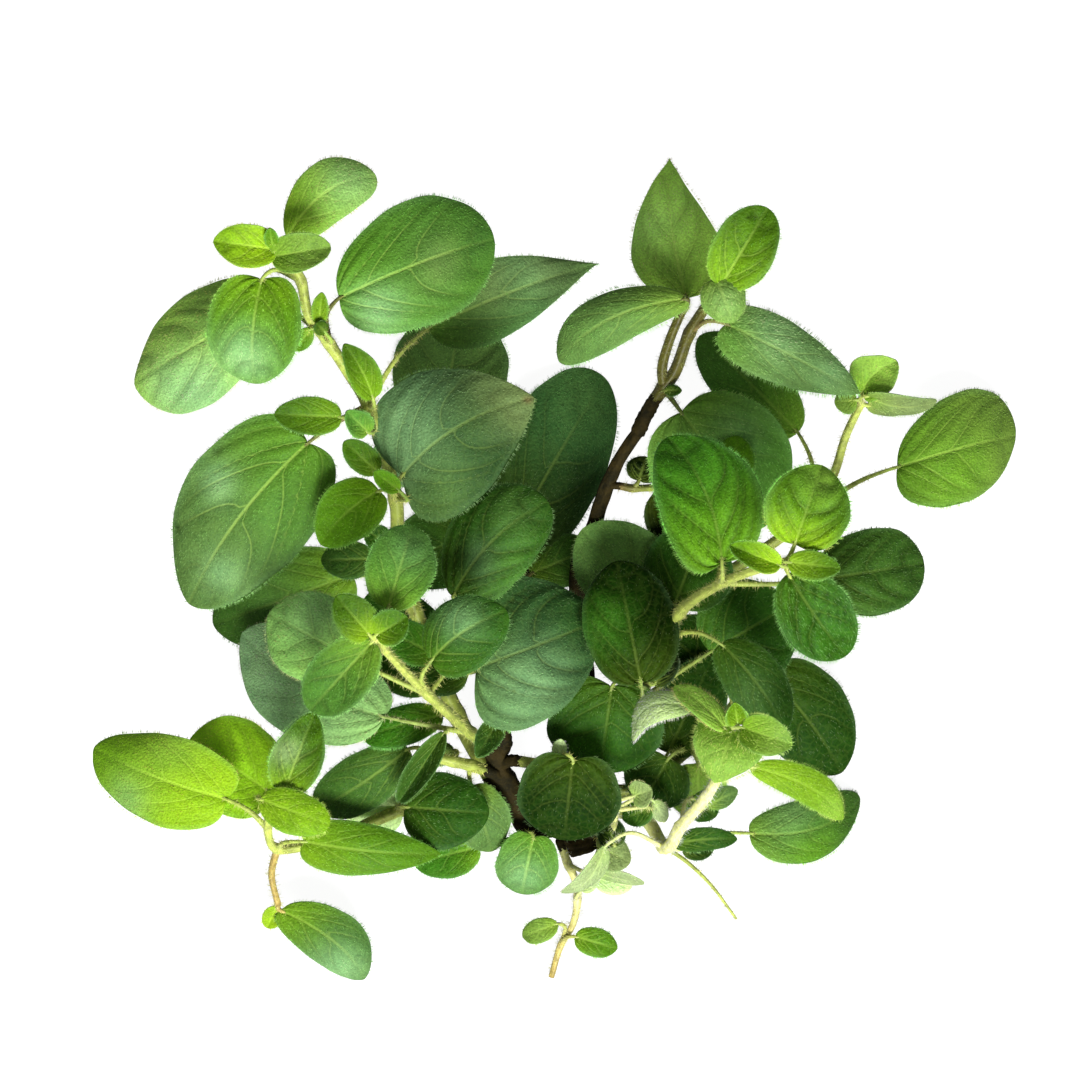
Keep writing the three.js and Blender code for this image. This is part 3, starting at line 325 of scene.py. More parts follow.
             roll=10, cup=-10, foot=("lime", 0.3, 0.3), veins=0.7),
        Leaf("far_bright", 5, (-54.9, -38.6, 20), (-77.2, -30.1, 13), 15.4, "bright", 0.75, form="broad",
             arch=3, bend=-0.8, cup=-8, slant=0.12, foot=("lime", 0.55, 0.6), quilt=0.2,
             patches=[(0.9, 0, 6, "fresh", 0.5), (0.5, 0.7, 5, "fair", 0.5), (0.6, -0.8, 4, "silver", 0.4)]),
        Leaf("behind", 5, (-47.9, -37.5, 17), (-61.5, -29.2, 11), 16.4, "bright", 1.15, form="round",
             arch=1.5, bend=0.5, veins=0.5),
        Leaf("tip_up", 6, (-45, -37, 28), (-40, -24, 33), 9, "fresh", 0.41, arch=1.5, cup=18,
             foot=("lime", 0.3, 0.4), veins=0.9, quilt=1, fur=(1.6, 1.4),
             patches=[(0.5, -0.5, 2.5, "pale", 0.35)]),
        Leaf("tip_right", 6, (-49, -38.5, 29), (-37.5, -42.7, 31), 7.5, "bright", 0.8, form="oval", arch=1.5,
             cup=-8, fur=(1.5, 1.2)),
    ]),
    Stem("lower_left", None, (0.6, 0.5), ("tan", "tan"), [(-46.5, -47, 14), (-47.5, -51.5, 10),
         (-46.5, -56.5, 7)], [
        Leaf("resting_tip", 2, (-46, -57.6, 6), (-32, -69.2, 0.2), 10.2, "leaf", 0.48, arch=3, bend=-2.6,
             roll=15, cup=-10, slant=0.1, foot=("bright", 0.3, 0.6), patches=[(0.75, 0.7, 5, "silver", 0.6)]),
        Leaf("resting_bud", 2, (-46.5, -57, 6), (-48.5, -60.5, 3), 3.5, "lime", 0.74, cup=15),
    ]),
    Stem("front", (2, -44, 6), (0.65, 0.5), ("white", "tan"), [(1.5, -47.8, 8.6), (2.2, -49.7, 9),
         (3.4, -52.3, 8.4), (3.8, -55.5, 7.2), (3, -60, 4.4), (1, -63.5, 2.4), (-0.6, -68.9, 0.7)], [
        Leaf("edge_on", 1, (6.8, -51, 10.5), (15, -53, 8.5), 4.5, "pale", 0.6, roll=62),
        Leaf("pale_a", 3, (4.5, -54, 11), (7, -51.5, 11), 3, "pale"),
        Leaf("pale_b", 3, (6.5, -52, 9), (13, -53.5, 7), 4.5, "pale", 1.4, roll=-10),
        Leaf("left_small", 5, (0.3, -59.8, 6), (-5.4, -62, 4), 4.2, "fair", 0.62, arch=1.5),
        Leaf("right_small", 5, (3.5, -62, 5), (10.5, -64, 4), 5, "fresh", 0.62, arch=1, veins=0.8),
    ]),
    Stem("crown", (4, -44.5, 5), (0.8, 0.4), ("green", "white"), [(7.5, -44.5, 9.5), (9.5, -44.3, 13),
         (10, -40.5, 18), (9.5, -39, 21)], [
        Leaf("curl", 3, (13.2, -38, 22), (16.2, -37, 24), 5, "drab", 1.15, form="round", cup=20),
        Leaf("low_a", 2, (16, -40.2, 17), (11.3, -42, 14), 4.5, "dark", 1.1),
        Leaf("low_b", 2, (16.5, -39, 16), (18.5, -42.5, 14), 3, "pale", 0.62),
        Leaf("dark_a", 1, (10, -46.5, 13.5), (8.5, -41.5, 15.5), 5, "dark", 0.3, cup=20),
        Leaf("half_pale", 1, (7.3, -46.6, 14), (12.6, -49.4, 12.5), 6, "drab", roll=-15),
    ]),
    Stem("front_left", (-8.5, -35, 13.9), (0.9, 0.8), ("green", "yellow"), [(-12.3, -33.6, 18),
         (-14, -33, 19.3), (-17, -32.3, 20.8), (-20.5, -31.5, 22)], [
        Leaf("behind_wide", 1, (-14, -36.5, 15.5), (-10.5, -47.5, 11.5), 9.5, "grey", 0.68, arch=1.5),
        Leaf("grey_small", 2, (-17, -30.5, 18), (-22, -32, 17), 4, "grey", 0.46),
        Leaf("long_dark", 3, (-24.5, -30.2, 22), (-40, -40.5, 14), 10, "leaf", 0.4, form="oval", arch=2,
             roll=-15, cup=-8, fur=(1.3, 1)),
        Leaf("folded_dark", 3, (-18.5, -27.5, 28), (-26, -39, 23), 7, "leaf", 0.38, arch=1, cup=50),
    ]),
    Stem("front_centre", (-9.4, -33, 15.2), (0.9, 0.8), ("yellow", "yellow"), [(-5.3, -32.4, 18.8),
         (-1, -33, 21.5)], [
        Leaf("broad_dark", 1, (3, -32, 25), (1.5, -45.5, 17), 17.5, "dark", 0.38, form="round", arch=2,
             cup=-8, veins=0.25, quilt=0.8, fur=(0.4, 1)),
        Leaf("axil", 1, (0.5, -31.5, 22), (1, -28.5, 23), 2.5, "pale", 1.3),
    ]),
    Stem("front_low", (-5, -42.5, 8.5), (0.9, 0.8), ("green", "green"), [(-5.6, -45.6, 10.8),
         (-6.8, -46, 11.4), (-8.8, -46.3, 11.6)], [
        Leaf("bright_round", 1, (-3.6, -45, 14), (-5.6, -54.7, 9), 10.5, "leaf", 0.66, form="round", arch=2,
             cup=-8, foot=("fresh", 0.4, 0.6), veins=0.8, patches=[(0.6, 0.1, 4, "silver", 0.5)]),
        Leaf("low_green", 2, (-12.8, -46.8, 9.5), (-23.7, -49.7, 5), 8, "mid", 0.88),
    ]),
]


# ------------------------ colours

# Albedo of the leaf tones, as display colours.
TONES = {
    "black": "#0c1a04",
    "night": "#1d3607",
    "dark": "#264d10",
    "slate": "#33592b",
    "mid": "#3f7a18",
    "leaf": "#568b30",
    "fresh": "#669f18",
    "bright": "#87b81c",
    "lime": "#a4d020",
    "fair": "#8eb947",
    "grey": "#638a42",
    # silver: a pale grey-green; in a patch it is a painted sheen
    "silver": "#8fbe80",
    "pale": "#c0d896",
    "drab": "#83985a",
    "rust": "#76583a",
}
HAIR_TONE = "#d9e8b8"
UNDERSIDE_TONE = "#86a468"
VEIN_TONE = "#acc95c"
STEM_TONES = {
    "green": "#8a993a",
    "yellow": "#b9c75c",
    "brown": "#66502a",
    "moss": "#4c4a06",
    "tan": "#b39c52",
    # white: the stems' own pale cream, brightened to near white as painted light
    "white": "#fafaa0",
    "bark": "#1a1a08",
}
SPOT_TONE = "#5c4a1e"  # on the stems
BARK_TONES = ("#130f03", "#35290b", "#4c3f12")  # furrows, ridges and fine grain


def linear(colour):
    """A display colour as linear red, green and blue."""
    share = np.array([int(colour[i:i + 2], 16) for i in (1, 3, 5)]) / 255
    return np.where(share <= 0.04045, share / 12.92, ((share + 0.055) / 1.055) ** 2.4)


def mixed(a, b, share):
    """Rows of colours between a and b; share has one value per row."""
    share = np.clip(np.asarray(share, float), 0, 1)[..., None]
    return a * (1 - share) + b * share


# ------------------------ vectors and curves


def unit(vectors):
    return vectors / np.maximum(np.linalg.norm(vectors, axis=-1, keepdims=True), 1e-12)


def bell(away, reach):
    """1 at no distance, and 1 / e where the distance is the reach."""
    return np.exp(-(away / reach) ** 2)


def curve_through(points, steps):
    """A centripetal Catmull-Rom curve through the points, with that many steps between two of them."""
    points = np.array(points, float)
    before = 2 * points[0] - points[1]
    after = 2 * points[-1] - points[-2]
    padded = np.vstack([before, points, after])
    t = np.linspace(0, 1, steps, endpoint=False)[:, None]
    rows = []
    for p0, p1, p2, p3 in zip(padded, padded[1:], padded[2:], padded[3:]):
        d0, d1, d2 = (np.linalg.norm(b - a) ** 0.5 for a, b in ((p0, p1), (p1, p2), (p2, p3)))
        leave = ((p1 - p0) / d0 - (p2 - p0) / (d0 + d1) + (p2 - p1) / d1) * d1
        arrive = ((p2 - p1) / d1 - (p3 - p1) / (d1 + d2) + (p3 - p2) / d2) * d1
        square = -3 * p1 + 3 * p2 - 2 * leave - arrive
        cube = 2 * p1 - 2 * p2 + leave + arrive
        rows.append(p1 + leave * t + square * t ** 2 + cube * t ** 3)
    return np.vstack([*rows, points[-1:]])


def along(path):
    """How far each point of a path is from its start, along it."""
    return np.concatenate([[0], np.cumsum(np.linalg.norm(np.diff(path, axis=0), axis=1))])


def at_places(rows, way, places):
    """Rows that belong to the points of a path, read off between them."""
    return np.stack([np.interp(places, way, column) for column in np.transpose(rows)], -1)


def carried_frames(path):
    """Tangent, and two directions across that turn as little as possible along a path."""
    tangents = unit(np.gradient(path, axis=0))
    across = np.zeros_like(path)
    seed = UP if abs(tangents[0, 2]) < 0.9 else np.array([1.0, 0, 0])
    for i, tangent in enumerate(tangents):
        seed = seed - tangent * seed.dot(tangent)
        seed /= np.linalg.norm(seed)
        across[i] = seed
    return tangents, across, np.cross(tangents, across)


# ------------------------ meshes


class Pile:
    """Vertices, faces and vertex attributes that grow part by part into one mesh."""

    def __init__(self, *attributes):
        self.vertices = []
        self.faces = []
        self.values = {name: [] for name in attributes}
        self.count = 0

    def add(self, vertices, faces, **values):
        self.vertices.append(vertices)
        self.faces += [face + self.count for face in faces]
        for name, rows in values.items():
            self.values[name].append(np.broadcast_to(rows, (len(vertices), 3)))
        self.count += len(vertices)

    def piece(self, name, material, slot):
        low, high = cad_corners()
        vertices = np.clip(np.vstack(self.vertices), low, high) * MM
        faces = [row.tolist() for block in self.faces for row in block]
        mesh = bpy.data.meshes.new(name)
        mesh.from_pydata(vertices.tolist(), [], faces)
        mesh.polygons.foreach_set("use_smooth", np.ones(len(faces), bool))
        for key, rows in self.values.items():
            values = np.vstack(rows).astype(np.float32)
            if key == "tone":
                layer = mesh.color_attributes.new(key, "FLOAT_COLOR", "POINT")
                values = np.hstack([values, np.ones((len(values), 1), np.float32)])
                layer.data.foreach_set("color", values.ravel())
            else:
                layer = mesh.attributes.new(key, "FLOAT_VECTOR", "POINT")
                layer.data.foreach_set("vector", values.ravel())
        mesh.materials.append(material)
        made = bpy.data.objects.new(name, mesh)
        bpy.context.scene.collection.objects.link(made)
        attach(made, "root")
        return made


def cad_corners():
    """The solids' box in millimetres, which no vertex leaves."""
    return (np.array(corner) / MM for corner in CAD_BOX)


def grid_faces(rows, columns, closed=False):
    """Quads of a grid of rows times columns points; closed joins the last column to the first."""
    spans = columns if closed else columns - 1
    i, j = np.meshgrid(np.arange(rows - 1), np.arange(spans), indexing="ij")
    i, j = i.ravel(), j.ravel()
    k = (j + 1) % columns
    return np.stack([i * columns + j, i * columns + k, (i + 1) * columns + k, (i + 1) * columns + j], 1)


# ------------------------ hairs

SURFACE_HAIRS = 1.3  # per square millimetre of the upper face
UNDERSIDE_HAIRS = 0.5
MARGIN_HAIRS = 6.0  # per millimetre
STEM_HAIRS = 14.0
HAIR_LENGTH = 0.8
SURFACE_LENGTH = 0.65  # as shares of HAIR_LENGTH
MARGIN_LENGTH = 0.85
STEM_LENGTH = 1.25
HAIR_SPREAD = (0.55, 1.15)  # the shortest and the longest, as shares of the usual
STEM_SPREAD = (0.5, 1.2)
HAIR_STRAY = 0.14  # how far directions scatter
STEM_STRAY = 0.15
HAIR_RADIUS = 0.04
# How much lighter than what it grows on a hair is, and how much of HAIR_TONE is added.
SURFACE_PALENESS = (3.2, 0.28)
MARGIN_PALENESS = (2.87, 0.238)
STEM_PALENESS = (2.5, 0.4)
LIGHTEST = 0.95  # of any channel


def add_hairs(pile, roots, directions, lengths, tones, paleness):
    """Three-sided hairs; one that would reach out of the solids' box isn't grown."""
    lift, white = paleness
    tones = np.minimum(tones * lift + linear(HAIR_TONE) * white, LIGHTEST)
    directions = unit(directions)
    tips = roots + directions * lengths[:, None]
    low, high = cad_corners()
    inside = ((tips > low + HAIR_RADIUS) & (tips < high - HAIR_RADIUS)).all(1)
    inside &= ((roots > low + HAIR_RADIUS) & (roots < high - HAIR_RADIUS)).all(1)
    roots, directions, tips, tones = (rows[inside] for rows in (roots, directions, tips, tones))
    helper = np.where(np.abs(directions[:, 2:]) < 0.8, [UP], [[1.0, 0, 0]])
    a = unit(np.cross(directions, helper))
    b = np.cross(directions, a)
    turns = [2 * math.pi * step / 3 for step in range(3)]
    rings = [roots + HAIR_RADIUS * (a * math.cos(turn) + b * math.sin(turn)) for turn in turns]
    first = np.arange(len(roots))[:, None] * 4
    faces = np.vstack([first + np.array([side]) for side in ((0, 1, 3), (1, 2, 3), (2, 0, 3))])
    pile.add(np.stack([*rings, tips], 1).reshape(-1, 3), [faces], tone=np.repeat(tones, 4, axis=0))


# ------------------------ leaves

BLADE_GRIDS = ((18, 58, 38), (12.5, 44, 28), (5.5, 28, 18), (0, 14, 10))  # from this width: rows, columns
VEIN_REACH = 0.72  # how far forward a side vein that starts at the base ends, as a share of the length
VEIN_CURVE = 1.5
VEIN_PAIRS = 3.4
VEIN_START = 0.02
VEIN_CROWDING = 0.65  # below 1 the side veins crowd towards the base
BASAL_VEINS = 1.5  # in the lobes below the lowest pair
MIDRIB_DEPTH = 0.42  # how deep the upper face sinks along it, on a broad leaf
MIDRIB_REACH = 0.6
GROOVE_DEPTH = 0.2  # the same along a side vein
GROOVE_REACH = 0.5
SWELLING_HEIGHT = 0.55  # how high it rises between two
WAVE_HEIGHT = 0.045  # of the margins, as a share of the width
UNEVEN_HEIGHT = 0.017
VALLEY_REACH = 0.45  # of the painted shade along a vein and the midrib; the next two set how dark it is and how much painted light the swellings get
VALLEY_SHADE = 0.5
SWELLING_LIGHT = 0.12
DIM_GREEN = 0.12  # a blade with less green than this has a fainter foot and margin
FOOT = ("lime", 0.3, 0.25)
DIM_FOOT = ("lime", 0.3, 0.06)
MARGIN = ("silver", 0.16)
DIM_MARGIN = ("silver", 0.08)
MARGIN_START = 0.86
UNDERSIDE_SHARE = 0.45
RIB_END = 0.8  # the rib under a blade ends at this share of its length
RIB_TIP_RADIUS = 0.08


class Blade:
    """One leaf's blade: u runs from base 0 to tip 1, v from the left margin -1 to the right margin 1."""

    def __init__(self, leaf, random):
        self.leaf = leaf
        self.width, self.quilt = leaf.width, leaf.quilt
        self.base = np.array(leaf.base, float)
        self.chord = np.array(leaf.tip, float) - self.base
        self.length = np.linalg.norm(self.chord)
        self.forward = self.chord / self.length
        upright = UP - self.forward * self.forward[2]
        upright /= np.linalg.norm(upright)
        roll = math.radians(leaf.roll)
        self.normal = upright * math.cos(roll) + np.cross(self.forward, upright) * math.sin(roll)
        self.side = np.cross(self.forward, self.normal)
        self.cup = math.radians(leaf.cup)
        self.taper = BLADE_FORMS[leaf.form]
        self.phases = random.uniform(0, 2 * math.pi, 6)
        self.skew = random.uniform(-0.02, 0.02)

    def half_width(self, u, v):
        """From the midrib to the margin, which is a little uneven."""
        base, tip, _ = self.taper
        peak = base / (base + tip)
        shape = u ** base * (1 - u) ** tip / (peak ** base * (1 - peak) ** tip)
        half = np.maximum(self.width / 2 * shape, BLADE_ROOT_WIDTH / 2 * (1 - u))
        sign = np.sign(v)
        uneven = 0.012 * np.sin(9 * u + self.phases[0] + 2 * sign)
        uneven = uneven + 0.007 * np.sin(23 * u + self.phases[1] * sign)
        return half * (1 + (uneven + self.skew * sign) * np.abs(v))

    def middle(self, u, v):
        """Points halfway between the two faces of the smooth blade."""
        bow = 4 * u * (1 - u)
        half = self.half_width(u, v)
        rise = self.leaf.arch * bow + half * np.abs(v) ** 1.5 * math.sin(self.cup)
        drift = self.leaf.bend * bow + half * v * math.cos(self.cup)
        back = -half * v * (self.taper[2] * v * (1 - u) ** 4 + self.leaf.slant)
        return (self.base + self.chord * u[..., None] + self.normal * rise[..., None]
                + self.side * drift[..., None] + self.forward * back[..., None])

    def axes(self, u, v):
        """Unit vectors at a point: forward, to the right, and out of the upper face."""
        step = 0.01
        u = np.clip(u, step, 1 - 2 * step)
        ahead = self.middle(u + step, v) - self.middle(u - step, v)
        right = self.middle(u, v + step) - self.middle(u, v - step)
        normal = unit(np.cross(right, ahead))
        return unit(ahead), unit(right), normal

    def vein_phase(self, u, v):
        """Whole numbers of this lie on side veins, which leave the midrib in near pairs and arch forward."""
        forward = VEIN_REACH * np.abs(v) ** VEIN_CURVE
        start = (u - forward) / (1 - forward) + VEIN_START
        uneven = 0.12 * np.sin(self.phases[2] + 2 * np.sign(v)) + 0.05 * np.sin(9 * v + self.phases[5])
        return np.where(
            start > 0, VEIN_PAIRS * np.abs(start) ** VEIN_CROWDING, BASAL_VEINS * start) + uneven

    def vein_distance(self, u, v):
        """How many millimetres lie between two side veins at a point."""
        step = 0.004
        lengthwise = (self.vein_phase(u + step, v) - self.vein_phase(u - step, v)) / (2 * step * self.length)
        half = np.maximum(self.half_width(u, v), 0.3)
        sideways = (self.vein_phase(u, v + step) - self.vein_phase(u, v - step)) / (2 * step * half)
        return np.minimum(1 / np.maximum(np.hypot(lengthwise, sideways), 0.02), 0.3 * self.length)

    def between_veins(self, u, v, reach, tip_fade):
        """How near a side vein is, and how near the middle between two; both fade at the margin and tip."""
        phase = self.vein_phase(u, v)
        gap = np.abs(phase - np.round(phase)) * self.vein_distance(u, v)
        inner = np.clip((1 - np.abs(v)) / 0.3, 0, 1) * np.clip((1 - u) / tip_fade, 0, 1)
        return bell(gap, reach) * inner, (1 - np.cos(2 * math.pi * phase)) / 2 * inner

    def relief(self, u, v):
        """How far the surface stands proud: it sinks along the veins and swells between them."""
        across = v * self.half_width(u, v)
        groove, swelling = self.between_veins(u, v, GROOVE_REACH, 0.15)
        size = min(1, self.width / 15)
        turn = self.phases
        midrib = -MIDRIB_DEPTH * size * bell(across, MIDRIB_REACH) * (1 - 0.75 * u)
        veins = -GROOVE_DEPTH * size * self.quilt * groove
        blisters = 0.5 + 0.5 * np.sin(0.9 * across * (1 + 0.2 * math.sin(turn[1])) + 7 * u + turn[0])
        swell = swelling * np.clip(np.abs(v) * 4, 0, 1)
        swell = SWELLING_HEIGHT * size * self.quilt * swell * (0.45 + 0.55 * blisters)
        waves = self.leaf.wave * WAVE_HEIGHT * self.width * np.abs(v) ** 3 * np.sin(
            (6 + 2 * math.sin(turn[2])) * u + turn[3] + 2.4 * np.sign(v))
        broad = UNEVEN_HEIGHT * self.width * np.sin(5 * u + turn[4]) * np.sin(2.2 * v + turn[5])
        return midrib + veins + swell + (waves + broad) * np.clip(u * 4, 0, 1) * np.clip((1 - u) * 5, 0, 1)

    def face(self, u, v, side):
        """Points of the upper face, with side 1, or of the lower face, with side -1."""
        _, _, normal = self.axes(u, v)
        thickness = BLADE_THICKNESS * (1 - 0.75 * np.abs(v) ** 8) * (1 - 0.5 * u ** 6)
        return self.middle(u, v) + normal * (self.relief(u, v) + side * thickness / 2)[..., None]

    def colours(self, u, v, side):
        """Albedo, with painted shade in the vein valleys, painted light on the swellings and the patches,
        before the shader adds its veins and mottling.
        """
        tone = np.broadcast_to(linear(TONES[self.leaf.tone]), u.shape + (3,)) * self.leaf.light
        dim = tone[0, 1] < DIM_GREEN
        foot, reach, strength = self.leaf.foot or (DIM_FOOT if dim else FOOT)
        tone = mixed(tone, linear(TONES[foot]), strength * bell(u, reach))
        margin, strength = DIM_MARGIN if dim else MARGIN
        near = np.clip((np.abs(v) - MARGIN_START) / (1 - MARGIN_START), 0, 1)
        tone = mixed(tone, linear(TONES[margin]), strength * near)
        half = self.half_width(u, v)
        for at_u, at_v, size, patch, share in self.leaf.patches:
            away = ((u - at_u) * self.length) ** 2 + ((v - at_v) * half) ** 2
            tone = mixed(tone, linear(TONES[patch]), share * np.exp(-away / size ** 2))
        if side < 0:
            return mixed(tone, linear(UNDERSIDE_TONE), UNDERSIDE_SHARE)
        return tone * self.shade(u, v)[..., None]

    def shade(self, u, v):
        """Painted shade and light on the upper face: darker in the valleys of the veins and along the midrib,
        lighter on the swellings.
        """
        valley, swelling = self.between_veins(u, v, VALLEY_REACH, 0.2)
        valley = valley * np.clip(np.abs(v) * 6, 0, 1)
        crease = bell(v * self.half_width(u, v), VALLEY_REACH) * (1 - 0.6 * u)
        return 1 - self.quilt * (VALLEY_SHADE * np.maximum(valley, crease) - SWELLING_LIGHT * swelling)

    def add_to(self, pile):
        _, rows, columns = next(grid for grid in BLADE_GRIDS if self.width >= grid[0])
        u = (1 - np.cos(np.pi * np.arange(rows) / rows)) / 2
        v = np.sin(np.pi / 2 * np.linspace(-1, 1, columns + 1))
        grid = np.meshgrid(u, v, indexing="ij")
        u, v = (np.append(values.ravel(), at_tip) for values, at_tip in zip(grid, (1.0, 0.0)))
        sheet = len(u)
        quads = grid_faces(rows, columns + 1)
        last = (rows - 1) * (columns + 1) + np.arange(columns)
        fan = np.stack([last, last + 1, np.full(columns, sheet - 1)], 1)
        rims = []
        for edge, turn in ((columns, 1), (0, -1)):
            a = np.arange(rows - 1) * (columns + 1) + edge
            b = a + columns + 1
            rims.append(np.stack([a, a + sheet, b + sheet, b], 1)[:, ::turn])
            end = (rows - 1) * (columns + 1) + edge
            rims.append(np.array([[end, end + sheet, 2 * sheet - 1, sheet - 1]])[:, ::turn])
        foot = np.arange(columns)
        rims.append(np.stack([foot, foot + sheet, foot + 1 + sheet, foot + 1], 1))
        veins = np.stack([self.vein_phase(u, v), v * self.half_width(u, v), self.vein_distance(u, v)], 1)
        grain = np.stack([u, v, np.full_like(u, self.leaf.veins)], 1)
        pile.add(
            np.vstack([self.face(u, v, 1), self.face(u, v, -1)]),
            [quads, fan, quads[:, ::-1] + sheet, fan[:, ::-1] + sheet, *rims],
            tone=np.vstack([self.colours(u, v, 1), self.colours(u, v, -1)]),
            leaf_veins=np.vstack([veins, veins]),
            leaf_grain=np.vstack([grain, grain]),
        )

    def add_hairs_to(self, pile, random):
        u_line = np.linspace(0.01, 0.99, 60)
        half_line = self.half_width(u_line, np.zeros_like(u_line))
        share = np.cumsum(half_line)
        share /= share[-1]
        area = 2 * half_line.mean() * self.length
        amount = self.leaf.fur[0]
        for side, density in ((1, SURFACE_HAIRS), (-1, UNDERSIDE_HAIRS)):
            count = int(area * density * amount)
            u = np.interp(random.uniform(0, 1, count), share, u_line)
            v = random.uniform(-0.97, 0.97, count)
            ahead, right, normal = self.axes(u, v)
            lean = normal * side * 0.35 + ahead * 0.9 + right * (0.3 * v)[:, None]
            tones = self.colours(u, v, side)
            self.grow(pile, self.face(u, v, side), lean, SURFACE_LENGTH, tones, SURFACE_PALENESS, random)
        outline = np.linalg.norm(np.diff(self.middle(u_line, np.ones_like(u_line)), axis=0), axis=1).sum()
        count = int(2 * outline * MARGIN_HAIRS * amount)
        u = random.uniform(0.01, 1, count) ** 0.9
        v = np.where(random.uniform(0, 1, count) < 0.5, -0.995, 0.995)
        ahead, right, normal = self.axes(u, v)
        lean = right * v[:, None] * 0.9 + ahead * (0.25 + 0.5 * u ** 6)[:, None] + normal * 0.2
        tones = self.colours(u, v, 1)
        self.grow(pile, self.middle(u, v), lean, MARGIN_LENGTH, tones, MARGIN_PALENESS, random)

    def grow(self, pile, roots, lean, length, tones, paleness, random):
        """Hairs at these roots, as long as a share of HAIR_LENGTH, each a little astray."""
        count = len(roots)
        if not count:
            return
        lengths = HAIR_LENGTH * length * self.leaf.fur[1] * random.uniform(*HAIR_SPREAD, count)
        lengths *= min(1, 0.55 + self.width / 25)
        stray = random.normal(0, HAIR_STRAY, (count, 3))
        add_hairs(pile, roots, unit(lean) + stray, lengths, tones, paleness)


# ------------------------ stems and bark

STEM_SIDES, STEM_STEPS = 16, 8  # steps of the curve between two points of the route
STALK_SIDES, STALK_STEPS = 10, 6
LIMB_SIDES, LIMB_STEPS = 28, 14
STUB_SIDES, STUB_STEPS = 20, 10
STALK_FUR = 0.9  # length of its hairs, as a share of a stem's
NODE_SWELLING = 0.18  # where leaves grow from a stem
NODE_REACH = 1.1
RIB_POINTS = 12
STUB_FLARES = (1.25, 1.05)  # radius at its two ends, as shares of the stem's
FOOT_STEPS = 40  # so fine that the first step shows the way a stem leaves its stub


def tube(path, radii, sides, bulge):
    """Rings round a path, with a flat cap at each end; bulge(angle, share of the way) scales the radius."""
    _, a, b = carried_frames(path)
    way = along(path)
    angle = 2 * np.pi * np.arange(sides) / sides
    shares = (way / way[-1])[:, None]
    reach = radii[:, None] * bulge(angle[None, :], shares)
    rings = path[:, None] + reach[..., None] * (
        a[:, None] * np.cos(angle)[None, :, None] + b[:, None] * np.sin(angle)[None, :, None])
    vertices = np.vstack([rings.reshape(-1, 3), path[:1], path[-1:]])
    rows = len(path)
    ring = np.arange(sides)
    after = (ring + 1) % sides
    start, end, last = rows * sides, rows * sides + 1, (rows - 1) * sides
    return vertices, [
        grid_faces(rows, sides, closed=True),
        np.stack([after, ring, np.full(sides, start)], 1),
        np.stack([last + ring, last + after, np.full(sides, end)], 1),
    ]


def square(angle, _):
    """The section of a stem of this family: square, with rounded corners."""
    return 0.97 + 0.1 * np.cos(4 * angle)


def round_section(angle, _):
    """The section of a stalk."""
    return np.ones_like(angle)


def bark(angle, share):
    """Lengthwise ridges and knots of a woody limb."""
    ridges = 0.05 * np.sin(5 * angle + 9 * share) + 0.035 * np.sin(11 * angle - 23 * share)
    knots = 0.05 * np.sin(37 * share + 2 * np.sin(angle)) + 0.03 * np.sin(91 * share + 3 * angle)
    return 0.97 + ridges + knots


def tone_along(tones, share):
    """The colour at a share of the way along a list of colours."""
    return at_places(tones, np.linspace(0, 1, len(tones)), share)


def add_tube(pile, path, radii, sides, bulge, tones):
    vertices, faces = tube(path, radii, sides, bulge)
    way = along(path)
    share = np.append(np.repeat(way / way[-1], sides), [0, 1])
    pile.add(vertices, faces, tone=tone_along(tones, share))


def add_stem_hairs(pile, path, radii, tones, random, length=1):
    way = along(path)
    count = int(way[-1] * STEM_HAIRS)
    if not count:
        return
    at = random.uniform(0, way[-1], count)
    angle = random.uniform(0, 2 * np.pi, count)[:, None]
    where, radius, forward, a, b = (
        at_places(rows, way, at) for rows in (path, radii[:, None], *carried_frames(path)))
    outward = unit(a * np.cos(angle) + b * np.sin(angle))
    lean = outward + forward * random.uniform(-0.35, 0.15, (count, 1))
    lean += random.normal(0, STEM_STRAY, (count, 3))
    lengths = STEM_LENGTH * HAIR_LENGTH * length * random.uniform(*STEM_SPREAD, count)
    colours = tone_along(tones, at / way[-1])
    add_hairs(pile, where + outward * radius * 0.9, lean, lengths, colours, STEM_PALENESS)


def stalk(route, blade):
    """Path and radii of a leaf's stalk, from the middle of the stem into the blade; then both again with the
    rib under the blade at the end.
    """
    node = np.array(route[blade.leaf.node], float)
    depth = PETIOLE_ROOT_DEPTH / blade.length
    inside = blade.face(np.array([depth]), np.array([0.0]), -1)[0]
    arrival = unit(inside - blade.base)
    reach = np.linalg.norm(node - blade.base)
    middle = 0.25 * (node + blade.base) + 0.5 * (blade.base - arrival * reach / 2)
    petiole = curve_through([node, middle, blade.base, inside], STALK_STEPS)
    u = np.linspace(depth * 2, RIB_END, RIB_POINTS)
    rib = blade.face(u, np.zeros_like(u), -1)
    thick = PETIOLE_LEAST_RADIUS + PETIOLE_RADIUS_PER_WIDTH * blade.width
    radii = tapered(along(petiole), thick, PETIOLE_END_RADIUS)
    rib_radii = np.linspace(PETIOLE_END_RADIUS, RIB_TIP_RADIUS, len(rib)) * min(1, 0.4 + blade.width / 25)
    return petiole, radii, np.vstack([petiole, rib]), np.append(radii, rib_radii)


def tapered(way, at_start, at_end):
    """Radii that change evenly along a path."""
    return at_start + (at_end - at_start) * way / way[-1]


def swollen(way, radii, nodes):
    """Radii of a stem, thicker where leaves grow from it."""
    for at in nodes:
        radii = radii * (1 + NODE_SWELLING * bell(way - at, NODE_REACH))
    return radii


